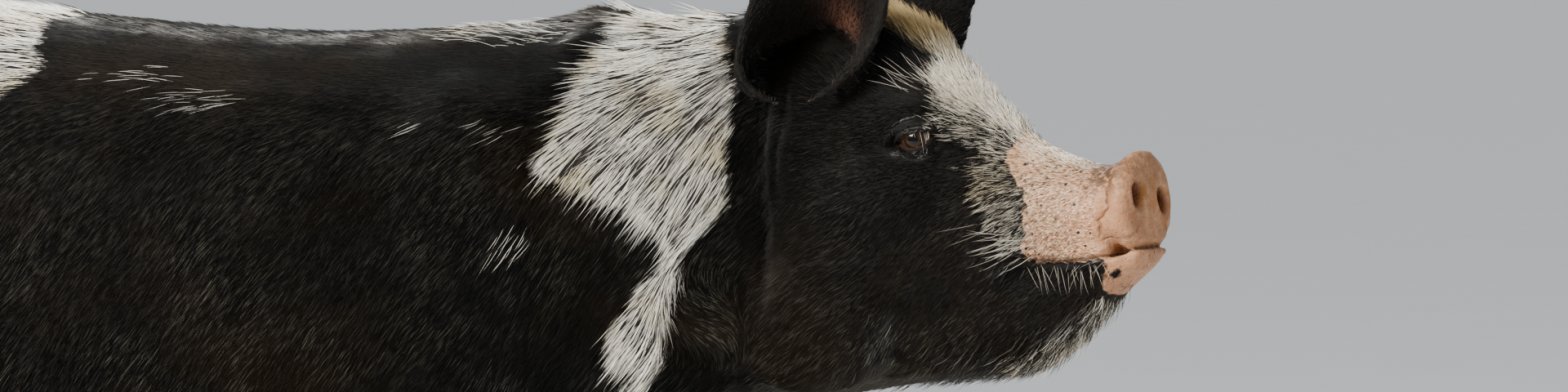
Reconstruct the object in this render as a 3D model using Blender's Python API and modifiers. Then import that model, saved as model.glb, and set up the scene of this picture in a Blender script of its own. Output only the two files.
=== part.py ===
"""A standing market-weight pig at life size, as a still museum model.

The animal faces +X, its left is +Y and +Z is up; metres throughout.
The flesh is lofted from sections along the spine and along each leg, joined with the main
muscles, blended into one closed skin and then parted into named pieces by thin flat cuts.
Ears, eyes, snout disc, tail, hooves and dewclaws are pieces of their own.
"""

import math

import bmesh
import bpy
import numpy as np
from mathutils import Matrix, Vector

# Driving dimensions
SCALE = 1.0  # 1.0 is a pig of about 120 kg, 0.76 m tall at the back
GAP = 0.0004  # clearance between pieces that meet
CUT = 0.0006  # width of the thin cuts that part the flesh
BLEND_CELL = 0.0055  # size of the cells in which the flesh is blended
BLEND_STEPS = 9
FLESH_TRIANGLES = 3600

# Head: its own frame has X forward from the poll, Z up from the floor
HEAD_X = 0.492
HEAD_YAW = math.radians(-25.0)
NECK_FROM, NECK_TO = 0.270, 0.480  # the neck bends evenly between these
MOUTH_CORNER = (0.187, 0.5625)
MOUTH_FRONT = (0.302, 0.576)
MOUTH_DIP = 0.009  # how far the lip line sags between its ends
MOUTH_LEAN = 0.8  # below 1, the sag is nearer to the corner
SNOUT_BACK = 0.2620
SNOUT_TILT = math.radians(-5.0)
EYE_AT = Vector((0.1145, -0.0545, 0.6500))
EYE_RADIUS = 0.0130

# Legs: where each foot stands
FORE_FEET = {"right": Vector((0.232, -0.100, 0.0)), "left": Vector((0.178, 0.100, 0.0))}
HIND_FEET = {"right": Vector((-0.602, -0.098, 0.0)), "left": Vector((-0.532, 0.098, 0.0))}
CORONET = 0.040  # height of the hoof's upper edge under the middle of the leg
CORONET_SLOPE = math.radians(14.0)
SIDES = {"right": -1.0, "left": 1.0}
LEG_TOPS = {"fore": 0.325, "hind": 0.335}  # height of the cut over each leg, at its inner side
LEG_ENDS = {"fore": (0.06, 0.90), "hind": (-0.34, -0.90)}
LEG_INNER = 0.05
LEG_RISE = 0.58

COAT_BLACK = (0.018, 0.017, 0.016, 1.0)
SKIN_PINK = (0.62, 0.33, 0.25, 1.0)
HORN_GREY = (0.10, 0.085, 0.07, 1.0)
EYE_BROWN = (0.03, 0.018, 0.012, 1.0)

# Sections of the trunk and neck: x, top, bottom, half width, height of the widest line,
# squareness above and below that line
TRUNK = [
    (-0.722, 0.615, 0.520, 0.048, 0.572, 2.0, 2.0),
    (-0.700, 0.660, 0.460, 0.098, 0.568, 2.1, 2.0),
    (-0.640, 0.702, 0.412, 0.138, 0.560, 2.2, 2.1),
    (-0.540, 0.736, 0.394, 0.155, 0.555, 2.3, 2.2),
    (-0.420, 0.753, 0.384, 0.155, 0.552, 2.4, 2.2),
    (-0.280, 0.757, 0.362, 0.161, 0.545, 2.4, 2.2),
    (-0.120, 0.746, 0.342, 0.170, 0.536, 2.4, 2.2),
    (0.020, 0.734, 0.335, 0.173, 0.532, 2.3, 2.2),
    (0.130, 0.733, 0.340, 0.168, 0.532, 2.3, 2.2),
    (0.230, 0.739, 0.354, 0.158, 0.536, 2.2, 2.2),
    (0.310, 0.745, 0.384, 0.144, 0.541, 2.2, 2.2),
    (0.385, 0.748, 0.412, 0.130, 0.541, 2.2, 2.2),
    (0.450, 0.751, 0.428, 0.119, 0.533, 2.2, 2.2),
    (0.500, 0.733, 0.450, 0.095, 0.533, 2.2, 2.2),
]
# The same for the head, along its own X
HEAD = [
    (-0.095, 0.730, 0.450, 0.100, 0.530, 2.2, 2.2),
    (-0.050, 0.752, 0.432, 0.117, 0.530, 2.2, 2.2),
    (0.000, 0.751, 0.440, 0.111, 0.520, 2.2, 2.2),
    (0.040, 0.752, 0.448, 0.102, 0.520, 2.2, 2.3),
    (0.070, 0.745, 0.454, 0.092, 0.535, 2.3, 2.3),
    (0.100, 0.727, 0.460, 0.081, 0.555, 2.3, 2.3),
    (0.125, 0.704, 0.463, 0.070, 0.570, 2.2, 2.3),
    (0.150, 0.680, 0.466, 0.058, 0.578, 2.2, 2.2),
    (0.180, 0.657, 0.474, 0.048, 0.585, 2.2, 2.2),
]
MUZZLE = [
    (0.085, 0.664, 0.580, 0.045, 0.610, 2.2, 2.2),
    (0.130, 0.677, 0.560, 0.060, 0.600, 2.3, 2.4),
    (0.170, 0.660, 0.556, 0.051, 0.592, 2.2, 2.8),
    (0.205, 0.643, 0.554, 0.0455, 0.588, 2.2, 2.8),
    (0.235, 0.633, 0.556, 0.0410, 0.590, 2.3, 2.7),
    (0.268, 0.634, 0.562, 0.0370, 0.596, 2.3, 2.5),
]
JAW = [
    (0.060, 0.600, 0.456, 0.060, 0.520, 2.2, 2.2),
    (0.120, 0.590, 0.464, 0.052, 0.520, 2.2, 2.2),
    (0.165, 0.575, 0.468, 0.042, 0.526, 2.2, 2.1),
    (0.200, 0.565, 0.478, 0.037, 0.530, 2.3, 2.1),
    (0.235, 0.568, 0.506, 0.032, 0.543, 2.4, 2.2),
    (0.265, 0.576, 0.537, 0.029, 0.558, 2.6, 2.3),
    (0.290, 0.586, 0.557, 0.025, 0.572, 2.8, 2.3),
]
# Muscles on each side of the trunk: middle, with its distance out from the middle plane as
# the second number, then radii, then lean about the cross axis
TRUNK_MUSCLES = [
    ((0.205, 0.098, 0.555), (0.118, 0.066, 0.150), 0.25),  # shoulder blade
    ((0.185, 0.112, 0.440), (0.092, 0.052, 0.090), 0.0),  # upper arm
    ((0.290, 0.070, 0.440), (0.060, 0.062, 0.075), 0.0),  # breast
    ((-0.545, 0.098, 0.545), (0.150, 0.076, 0.160), -0.15),  # ham
    ((-0.575, 0.104, 0.440), (0.115, 0.066, 0.120), 0.0),  # thigh
    ((-0.050, 0.095, 0.500), (0.240, 0.082, 0.145), 0.0),  # ribs
]
# The same for the head in its own frame, with a turn outwards in place of the lean
HEAD_MUSCLES = [
    ((0.030, 0.070, 0.520), (0.080, 0.044, 0.072), -0.15),  # jowl
    ((0.082, 0.068, 0.600), (0.060, 0.026, 0.046), -0.30),  # cheekbone
    ((0.102, 0.046, 0.668), (0.030, 0.022, 0.016), -0.45),  # brow
    ((0.030, 0.046, 0.694), (0.040, 0.026, 0.034), 0.0),  # root of the ear
    ((0.190, 0.030, 0.578), (0.046, 0.019, 0.024), 0.0),  # upper lip
]
POLL = ((0.020, 0.0, 0.715), (0.060, 0.052, 0.048))
# Bones that stand out behind the legs: shift from the foot, share of the foot's distance
# from the middle plane that is added sideways, height, then radii and lean
HOCK = ((-0.072, 0.06, 0.272), (0.024, 0.017, 0.036), 0.35)
ELBOW = ((-0.088, 0.10, 0.372), (0.034, 0.026, 0.036), 0.0)
# Sections of the legs, from the shoulder or hip down: height, forward shift from the foot,
# sideways share of the foot's place, half length fore and aft, half width
FORELEG = [
    (0.520, -0.020, 0.90, 0.090, 0.050),
    (0.430, -0.030, 1.02, 0.086, 0.050),
    (0.370, -0.032, 1.05, 0.068, 0.043),
    (0.310, -0.020, 1.05, 0.050, 0.038),
    (0.250, -0.008, 1.03, 0.039, 0.034),
    (0.212, 0.000, 1.02, 0.0385, 0.0345),
    (0.175, -0.002, 1.01, 0.0310, 0.0295),
    (0.125, -0.006, 1.00, 0.0275, 0.0275),
    (0.088, -0.008, 1.00, 0.0335, 0.0325),
    (0.058, 0.004, 1.00, 0.0310, 0.0330),
    (0.024, 0.016, 1.00, 0.0340, 0.0330),
]
HINDLEG = [
    (0.520, 0.040, 0.95, 0.125, 0.062),
    (0.430, 0.045, 1.05, 0.118, 0.062),
    (0.370, 0.022, 1.08, 0.092, 0.052),
    (0.315, -0.012, 1.08, 0.062, 0.041),
    (0.268, -0.040, 1.06, 0.049, 0.034),
    (0.225, -0.040, 1.04, 0.038, 0.031),
    (0.170, -0.026, 1.02, 0.0300, 0.0285),
    (0.125, -0.016, 1.00, 0.0290, 0.0280),
    (0.088, -0.012, 1.00, 0.0340, 0.0325),
    (0.058, 0.003, 1.00, 0.0310, 0.0330),
    (0.024, 0.015, 1.00, 0.0340, 0.0330),
]


def clear_scene():
    for thing in list(bpy.data.objects):
        bpy.data.objects.remove(thing, do_unlink=True)


def new_collection(name, shown=True):
    made = bpy.data.collections.new(name)
    bpy.context.scene.collection.children.link(made)
    made.hide_render = not shown
    return made


def material(name, colour, roughness):
    made = bpy.data.materials.new(name)
    made.use_nodes = True
    shader = made.node_tree.nodes["Principled BSDF"]
    shader.inputs["Base Color"].default_value = colour
    shader.inputs["Roughness"].default_value = roughness
    shader.inputs["Metallic"].default_value = 0.0
    return made


def object_from(bm, name, collection, finish=None):
    mesh = bpy.data.meshes.new(name)
    bm.to_mesh(mesh)
    bm.free()
    mesh.shade_smooth()
    made = bpy.data.objects.new(name, mesh)
    collection.objects.link(made)
    if finish:
        mesh.materials.append(finish)
    return made


def evaluated_mesh(thing):
    bpy.context.view_layer.update()
    graph = bpy.context.evaluated_depsgraph_get()
    return bpy.data.meshes.new_from_object(thing.evaluated_get(graph))


def eased(table, at):
    """Every column of a table of sections, read at a place along it by a smooth curve."""
    rows = np.array(table, float)
    x = rows[:, 0]
    rising = x[0] < x[-1]
    if not rising:
        rows, x = rows[::-1], x[::-1]
    i = int(np.clip(np.searchsorted(x, at) - 1, 0, len(x) - 2))
    step = x[i + 1] - x[i]
    t = (at - x[i]) / step

    def slope(k):
        low, high = max(k - 1, 0), min(k + 1, len(x) - 1)
        return (rows[high] - rows[low]) / (x[high] - x[low])

    a, b = rows[i], rows[i + 1]
    ease = t * t * (3.0 - 2.0 * t)
    lead = t * (1.0 - t) ** 2 * step
    tail = t * t * (t - 1.0) * step
    return a + (b - a) * ease + slope(i) * lead + slope(i + 1) * tail


def rounded(angle, power):
    """Cosine and sine of an angle on a superellipse, which is squarer for a higher power."""
    c, s = math.cos(angle), math.sin(angle)
    return (
        math.copysign(abs(c) ** (2.0 / power), c),
        math.copysign(abs(s) ** (2.0 / power), s),
    )


def body_ring(x, top, bottom, half_width, widest, square_above, square_below, points=30):
    """One upright section across the body, widest at its own height."""
    ring = []
    for k in range(points):
        angle = 2.0 * math.pi * k / points
        above = math.sin(angle) >= 0.0
        c, s = rounded(angle, square_above if above else square_below)
        height = widest + s * ((top - widest) if above else (widest - bottom))
        ring.append(Vector((x, half_width * c, height)))
    return ring


def loft(bm, rings):
    """Joins rings of equal count by a skin, and closes both ends."""
    loops = [[bm.verts.new(point) for point in ring] for ring in rings]
    count = len(loops[0])
    for first, second in zip(loops, loops[1:]):
        for k in range(count):
            after = (k + 1) % count
            bm.faces.new((first[k], first[after], second[after], second[k]))
    bm.faces.new(loops[0][::-1])
    bm.faces.new(loops[-1])


def ellipsoid(bm, centre, radii, turn=0.0, lean=0.0, segments=24):
    place = (
        Matrix.Translation(centre)
        @ Matrix.Rotation(turn, 4, "Z")
        @ Matrix.Rotation(lean, 4, "Y")
        @ Matrix.Diagonal((*radii, 1.0))
    )
    rows = segments // 2 + 1
    bmesh.ops.create_uvsphere(bm, u_segments=segments, v_segments=rows, radius=1.0, matrix=place)


def head_frame():
    return Matrix.Translation((HEAD_X, neck_slide(HEAD_X)[1], 0.0)) @ Matrix.Rotation(HEAD_YAW, 4, "Z")


def table_rings(table, step):
    low, high = table[0][0], table[-1][0]
    count = max(2, round((high - low) / step))
    return [body_ring(*eased(table, low + (high - low) * k / count)) for k in range(count + 1)]


def neck_slide(x):
    """Share of the neck's bend at a place along the body, and how far its middle has moved aside."""
    length = NECK_TO - NECK_FROM
    share = min(1.0, max(0.0, (x - NECK_FROM) / length))
    aside = 0.5 * math.tan(HEAD_YAW) * length * share * share
    return share, aside + math.tan(HEAD_YAW) * max(0.0, x - NECK_TO)


def bend_neck(point):
    """Turns what lies ahead of the shoulder towards the head's own direction."""
    share, aside = neck_slide(point.x)
    turned = Matrix.Rotation(HEAD_YAW * share, 3, "Z") @ Vector((0.0, point.y, 0.0))
    return Vector((point.x + turned.x, turned.y + aside, point.z))


def leg_rings(table, foot, points=24, step=0.02):
    rings = []
    high, low = table[0][0], table[-1][0]
    count = round((high - low) / step)
    for k in range(count + 1):
        z, shift, share, half_length, half_width = eased(table, high + (low - high) * k / count)
        ring = []
        for j in range(points):
            c, s = rounded(2.0 * math.pi * j / points, 2.2)
            across = foot.y * share + half_width * s
            ring.append(Vector((foot.x + shift + half_length * c, across, z)))
        rings.append(ring)
    return rings


def add_trunk(bm):
    rings = table_rings(TRUNK, 0.022)
    loft(bm, [[bend_neck(point) for point in ring] for ring in rings])
    for side in SIDES.values():
        for (x, out, height), radii, lean in TRUNK_MUSCLES:
            ellipsoid(bm, Vector((x, side * out, height)), radii, lean=lean)


def add_legs(bm):
    for feet, table in ((FORE_FEET, FORELEG), (HIND_FEET, HINDLEG)):
        for foot in feet.values():
            loft(bm, leg_rings(table, foot))
    for feet, bone in ((HIND_FEET, HOCK), (FORE_FEET, ELBOW)):
        (shift, share, height), radii, lean = bone
        for foot in feet.values():
            ellipsoid(bm, foot + Vector((shift, foot.y * share, height)), radii, lean=lean)


def add_head(bm):
    """The skull with its cheeks, brows and ear roots, the muzzle and the lower jaw."""
    head = bmesh.new()
    for table in (HEAD, MUZZLE, JAW):
        loft(head, table_rings(table, 0.012))
    for side in SIDES.values():
        for (x, out, height), radii, turn in HEAD_MUSCLES:
            ellipsoid(head, Vector((x, side * out, height)), radii, turn=side * turn)
    poll, radii = POLL
    ellipsoid(head, Vector(poll), radii)
    head.transform(head_frame())
    carried = bpy.data.meshes.new("head_mould")
    head.to_mesh(carried)
    head.free()
    bm.from_mesh(carried)
    bpy.data.meshes.remove(carried)


def moulded_flesh(helpers):
    """All the forms joined, blended into one closed skin and thinned to its final triangles."""
    bm = bmesh.new()
    add_trunk(bm)
    add_legs(bm)
    add_head(bm)
    bmesh.ops.recalc_face_normals(bm, faces=bm.faces)
    mould = object_from(bm, "flesh_mould", helpers)
    blend = mould.modifiers.new("blend", "REMESH")
    blend.mode = "VOXEL"
    blend.voxel_size = BLEND_CELL
    smooth = mould.modifiers.new("smooth", "SMOOTH")
    smooth.factor = 0.6
    smooth.iterations = BLEND_STEPS
    blended = evaluated_mesh(mould)
    thin = bpy.data.objects.new("flesh_thin", blended)
    helpers.objects.link(thin)
    keep = thin.modifiers.new("thin", "DECIMATE")
    keep.ratio = FLESH_TRIANGLES / (2.0 * len(blended.polygons))
    keep.use_collapse_triangulate = True
    flesh = evaluated_mesh(thin)
    for used in (mould, thin):
        bpy.data.objects.remove(used, do_unlink=True)
    return flesh


def sliced(flesh, name, planes, collection, finish):
    """The flesh on the far side of each plane, given as (point, outward normal of what is dropped)."""
    bm = bmesh.new()
    bm.from_mesh(flesh)
    for point, normal in planes:
        normal = Vector(normal).normalized()
        everything = bm.verts[:] + bm.edges[:] + bm.faces[:]
        bmesh.ops.bisect_plane(
            bm,
            geom=everything,
            dist=1e-7,
            plane_co=Vector(point) - normal * (CUT / 2.0),
            plane_no=normal,
            clear_outer=True,
        )
        rims = [edge for edge in bm.edges if edge.is_boundary]
        bmesh.ops.holes_fill(bm, edges=rims, sides=0)
    loose = [vert for vert in bm.verts if not vert.link_faces]
    bmesh.ops.delete(bm, geom=loose, context="VERTS")
    bmesh.ops.triangulate(bm, faces=[face for face in bm.faces if len(face.verts) > 3])
    bmesh.ops.recalc_face_normals(bm, faces=bm.faces)
    return object_from(bm, name, collection, finish)


def flipped(plane):
    point, normal = plane
    return point, -Vector(normal)


def in_head(point):
    return head_frame() @ Vector(point)


def head_direction(vector):
    return Matrix.Rotation(HEAD_YAW, 3, "Z") @ Vector(vector)


SNOUT_HEIGHT = 0.6025  # of the middle of the disc
SNOUT_HALF = (0.0375, 0.0350, 0.0318)  # half width, height above the middle and below it
SNOUT_SQUARE = (2.25, 2.80)  # squareness above and below
# Sections of the disc: how far ahead of its back, share of its full size, and how far the
# upper rim rises to a blunt peak, as a share of the half height
SNOUT = [
    (0.0000, 0.910, 0.00),
    (0.0080, 0.990, 0.03),
    (0.0150, 1.020, 0.10),
    (0.0205, 0.990, 0.17),
    (0.0238, 0.870, 0.20),
    (0.0250, 0.560, 0.12),
]
NOSTRILS = {"right": (0.0258, -0.0190, 0.0085), "left": (0.0258, 0.0188, 0.0022)}
NOSTRIL_RADII = (0.0150, 0.0062, 0.0098)
NOSTRIL_TURN = 0.25


def snout_ring(along, size, peak, points=26):
    ring = []
    half_width, upper, lower = SNOUT_HALF
    for k in range(points):
        angle = 2.0 * math.pi * k / points
        above = math.sin(angle) >= 0.0
        c, s = rounded(angle, SNOUT_SQUARE[0] if above else SNOUT_SQUARE[1])
        rise = peak * max(0.0, math.sin(angle)) ** 3
        height = (upper if above else lower) * size * (s + rise)
        ring.append(Vector((along, half_width * size * c, height)))
    return ring


def add_snout(collection, helpers, finish):
    """The bare disc at the end of the muzzle, its rim standing proud, with two nostrils."""
    bm = bmesh.new()
    loft(bm, [snout_ring(*section) for section in SNOUT])
    place = head_frame() @ Matrix.Translation((SNOUT_BACK + CUT, 0.0, SNOUT_HEIGHT))
    place = place @ Matrix.Rotation(SNOUT_TILT, 4, "Y")
    bm.transform(place)
    bmesh.ops.recalc_face_normals(bm, faces=bm.faces)
    snout = object_from(bm, "snout_disc", collection, finish)
    for name, side in SIDES.items():
        hole = bmesh.new()
        middle = Vector(NOSTRILS[name])
        ellipsoid(hole, middle, NOSTRIL_RADII, turn=side * NOSTRIL_TURN, segments=12)
        hole.transform(place)
        cutter = object_from(hole, f"nostril_cutter_{name}", helpers)
        cutter.display_type = "WIRE"
        cut = snout.modifiers.new(f"nostril_{name}", "BOOLEAN")
        cut.object = cutter
    return snout


def grown_copy(thing, helpers):
    """A copy of a piece, bigger by the gap all round, for cutting its neighbour back."""
    mesh = evaluated_mesh(thing)
    copy = bpy.data.objects.new(f"{thing.name}_clearance", mesh)
    helpers.objects.link(copy)
    copy.display_type = "WIRE"
    grow = copy.modifiers.new("grow", "DISPLACE")
    grow.strength = GAP
    grow.mid_level = 0.0
    return copy


def cut_back(thing, clearances):
    for number, clearance in enumerate(clearances):
        cut = thing.modifiers.new(f"fit_{number}", "BOOLEAN")
        cut.object = clearance


def add_eyes(collection, helpers, head, finish):
    """Eyeballs, each in a socket sunk in the side of the skull."""
    for name, side in SIDES.items():
        centre = in_head((EYE_AT.x, -side * EYE_AT.y, EYE_AT.z))
        for label, radius, where in (
            (f"eye_{name}", EYE_RADIUS, collection),
            (f"socket_cutter_{name}", EYE_RADIUS + GAP + 0.0002, helpers),
        ):
            bm = bmesh.new()
            bmesh.ops.create_uvsphere(
                bm, u_segments=14, v_segments=8, radius=radius, matrix=Matrix.Translation(centre)
            )
            made = object_from(bm, label, where, finish if where is collection else None)
        made.display_type = "WIRE"
        cut = head.modifiers.new(f"socket_{name}", "BOOLEAN")
        cut.object = made


EAR_LENGTH = 0.168
EAR_ROOT = Vector((0.024, 0.090, 0.698))
EAR_BACK = {"right": 0.0, "left": 0.010}  # the left ear sits a little further back
EAR_LOBE = 0.017  # how far the margins hang lower than the middle at the root
EAR_AXIS = Vector((0.52, 0.34, 0.78)).normalized()
EAR_UPRIGHT = Vector((0.0, 0.30, 0.95)).normalized()  # the sections stand square to this
EAR_OPENS = Vector((0.50, 0.85, -0.20))
EAR_THICK = 0.0055
# Share of the length, half width, half angle of the cup in degrees, backward sway
EAR = [
    (0.00, 0.043, 168.0, 0.000),
    (0.05, 0.046, 144.0, 0.000),
    (0.12, 0.050, 120.0, 0.001),
    (0.21, 0.053, 101.0, 0.002),
    (0.32, 0.055, 84.0, 0.004),
    (0.50, 0.054, 62.0, 0.006),
    (0.68, 0.044, 47.0, 0.008),
    (0.86, 0.027, 35.0, 0.010),
    (1.00, 0.009, 25.0, 0.013),
]


def add_ears(collection, clearances, finish):
    """Upright cupped ears that open forwards and out."""
    across, along = 9, 10
    for name, side in SIDES.items():
        axis = Vector((EAR_AXIS.x, side * EAR_AXIS.y, EAR_AXIS.z))
        upright = Vector((EAR_UPRIGHT.x, side * EAR_UPRIGHT.y, EAR_UPRIGHT.z))
        opens = Vector((EAR_OPENS.x, side * EAR_OPENS.y, EAR_OPENS.z))
        opens = (opens - upright * opens.dot(upright)).normalized()
        sideways = upright.cross(opens)
        bm = bmesh.new()
        rows = []
        for j in range(along + 1):
            share = (j / along) ** 1.3
            _, half_width, half_angle, sway = eased(EAR, share)
            half_angle = math.radians(half_angle)
            radius = half_width / max(math.sin(min(half_angle, math.pi / 2.0)), 1e-3)
            middle = Vector((EAR_ROOT.x - EAR_BACK[name], side * EAR_ROOT.y, EAR_ROOT.z))
            middle += axis * (EAR_LENGTH * share) - opens * sway
            row = []
            for k in range(across + 1):
                turn = 2.0 * k / across - 1.0
                angle = half_angle * turn
                depth = radius * (math.cos(angle) - math.cos(half_angle) * 0.5)
                point = middle + sideways * (radius * math.sin(angle)) - opens * depth
                hang = EAR_LOBE * turn * turn * (1.0 - share) ** 2
                row.append(bm.verts.new(point - upright * hang))
            rows.append(row)
        for first, second in zip(rows, rows[1:]):
            for k in range(across):
                bm.faces.new((first[k], first[k + 1], second[k + 1], second[k]))
        bm.transform(head_frame())
        bmesh.ops.recalc_face_normals(bm, faces=bm.faces)
        ear = object_from(bm, f"ear_{name}", collection, finish)
        shell = ear.modifiers.new("thickness", "SOLIDIFY")
        shell.thickness = EAR_THICK
        shell.offset = 0.0
        shell.use_even_offset = True
        cut_back(ear, clearances)
        keep_largest(ear)


def keep_largest(thing):
    """Fixes the piece as cut and drops the scraps that the cut left on the far side."""
    mesh = evaluated_mesh(thing)
    thing.modifiers.clear()
    bm = bmesh.new()
    bm.from_mesh(mesh)
    left = set(bm.verts)
    islands = []
    while left:
        island, edge = set(), {left.pop()}
        while edge:
            island |= edge
            edge = {e.other_vert(v) for v in edge for e in v.link_edges} - island
        left -= island
        islands.append(island)
    islands.sort(key=len)
    for scrap in islands[:-1]:
        bmesh.ops.delete(bm, geom=list(scrap), context="VERTS")
    bm.to_mesh(mesh)
    bm.free()
    thing.data = mesh


TAIL_AT = Vector((-0.706, 0.0, 0.646))
TAIL_RADIUS = 0.0135
TAIL_DROP = (-0.052, 0.012, -0.105)  # how far it reaches back, how it first rises, how it falls
TAIL_CURL = 0.034
TAIL_TURN = 1.62 * math.pi
TAIL_ASIDE = 0.050


def add_tail(collection, clearances, finish):
    """A short tail that leaves the rump, drops and makes one open curl to the left."""
    drop, turn = 8, 13
    back, rise, fall = TAIL_DROP
    centre = []
    for k in range(drop):
        t = k / drop
        centre.append(TAIL_AT + Vector((back * math.sin(t * math.pi / 2.0), 0.0, rise * t + fall * t * t)))
    start = centre[-1]
    for k in range(1, turn + 1):
        angle = TAIL_TURN * k / turn
        radius = TAIL_CURL * (1.0 - 0.30 * k / turn)
        ahead = -0.55 * radius * math.sin(angle) + 0.015 * (1.0 - math.cos(angle))
        up = -0.9 * radius * math.sin(angle) - 0.012 * (1.0 - math.cos(angle))
        centre.append(start + Vector((ahead, TAIL_ASIDE * k / turn, up)))
    shape = bpy.data.curves.new("tail_line", "CURVE")
    shape.dimensions = "3D"
    shape.bevel_depth = TAIL_RADIUS
    shape.bevel_resolution = 3
    shape.use_fill_caps = True
    line = shape.splines.new("POLY")
    line.points.add(len(centre) - 1)
    for k, (point, place) in enumerate(zip(line.points, centre)):
        point.co = (*place, 1.0)
        point.radius = 1.0 - 0.55 * k / (len(centre) - 1)
    curve = bpy.data.objects.new("tail_line", shape)
    collection.objects.link(curve)
    bm = bmesh.new()
    bm.from_mesh(evaluated_mesh(curve))
    bpy.data.objects.remove(curve, do_unlink=True)
    bmesh.ops.remove_doubles(bm, verts=bm.verts, dist=1e-5)
    bmesh.ops.recalc_face_normals(bm, faces=bm.faces)
    tail = object_from(bm, "tail", collection, finish)
    cut_back(tail, clearances)
    keep_largest(tail)


CLAW_AT = (0.0195, 0.0168)  # ahead of the foot's place and out from it
CLAW_SPREAD = math.radians(4.0)
DEWCLAW_AT = (-0.036, 0.0185, 0.064)
DEWCLAW_RADII = (0.0105, 0.0098, 0.0165)


def claw_outline(share, points=14):
    """Plan of one claw, which narrows from the sole, at share 0, to the coronet, at share 1."""
    half_length, half_width = 0.0350 - 0.0040 * share, 0.0150 - 0.0010 * share
    ring = []
    for k in range(points):
        c, s = rounded(2.0 * math.pi * k / points, 2.4)
        toe = 1.0 - 0.34 * max(0.0, c) ** 2
        ring.append((half_length * c - 0.011 * share, half_width * s * toe))
    return ring


def coronet_height(x, foot):
    """The coronet slopes down from the toe to the heel."""
    return CORONET + math.tan(CORONET_SLOPE) * (x - foot.x)


def add_hooves(name, foot, collection, clearance, finish):
    """Two claws under the foot and two dewclaws behind it."""
    outward = math.copysign(1.0, foot.y)
    ahead, out = CLAW_AT
    behind, aside, height = DEWCLAW_AT
    for label, side in (("outer", outward), ("inner", -outward)):
        middle = foot + Vector((ahead, side * out, 0.0))
        spread = Matrix.Rotation(side * CLAW_SPREAD, 3, "Z")
        rings = []
        for share, inset in ((0.0, 0.95), (0.06, 1.0), (1.0, 1.0)):
            ring = []
            for x, y in claw_outline(share):
                point = middle + spread @ Vector((x * inset, y * inset, 0.0))
                point.z = (coronet_height(point.x, foot) - CUT) * share
                ring.append(point)
            rings.append(ring)
        bm = bmesh.new()
        loft(bm, rings)
        bmesh.ops.recalc_face_normals(bm, faces=bm.faces)
        object_from(bm, f"hoof_{name}_{label}", collection, finish)
        dew = bmesh.new()
        place = foot + Vector((behind, side * aside, height))
        ellipsoid(dew, place, DEWCLAW_RADII, lean=0.5, segments=9)
        claw = object_from(dew, f"dewclaw_{name}_{label}", collection, finish)
        cut_back(claw, [clearance])


THROAT_LINE = [(-0.02, 0.30), (0.062, 0.470), (0.100, 0.545), (0.140, 0.560)]
LIPS_PARTED = 0.0022  # at the front
FACE_BACK = -0.035  # where the head is parted from the neck, in the head's frame
NECK_CUT = (Vector((0.300, 0.0, 0.6)), Vector((-1.0, 0.10, -0.35)))
# Each leg's knee or hock cut: height, slope
KNEE_CUTS = {"fore": (0.195, 0.0), "hind": (0.235, -0.35)}


def mouth_height(x):
    """Height of the lip line along the head."""
    (back, low), (front, high) = MOUTH_CORNER, MOUTH_FRONT
    t = (x - back) / (front - back)
    sag = math.sin(math.pi * min(1.0, max(0.0, t)) ** MOUTH_LEAN)
    return low + (high - low) * t - MOUTH_DIP * sag


def mouth_cutter(helpers, name, above):
    """A wide block on one side of the mouth cut, which runs on behind its corner to the throat."""
    reach = 0.45
    lips = [(x, mouth_height(x)) for x in np.linspace(MOUTH_CORNER[0], MOUTH_FRONT[0], 9)]
    line = THROAT_LINE + lips + [(reach, MOUTH_FRONT[1])]
    edge = []
    for x, z in line:
        parted = LIPS_PARTED * min(1.0, max(0.0, (x - MOUTH_CORNER[0]) / 0.06)) ** 1.5
        edge.append((x, z + (parted + CUT / 2.0) * (1.0 if above else -1.0)))
    if above:
        outline = edge + [(reach, 1.2), (-0.6, 1.2), (-0.6, 0.30)]
    else:
        outline = edge + [(reach, 0.2), (-0.02, 0.2)]
    bm = bmesh.new()
    sides = [[bm.verts.new((x, y, z)) for x, z in outline] for y in (-0.4, 0.4)]
    bm.faces.new(sides[0])
    bm.faces.new(sides[1][::-1])
    for k in range(len(outline)):
        after = (k + 1) % len(outline)
        bm.faces.new((sides[0][k], sides[1][k], sides[1][after], sides[0][after]))
    bmesh.ops.triangulate(bm, faces=bm.faces[:])
    bm.transform(head_frame())
    bmesh.ops.recalc_face_normals(bm, faces=bm.faces)
    cutter = object_from(bm, name, helpers)
    cutter.display_type = "WIRE"
    return cutter


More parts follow.
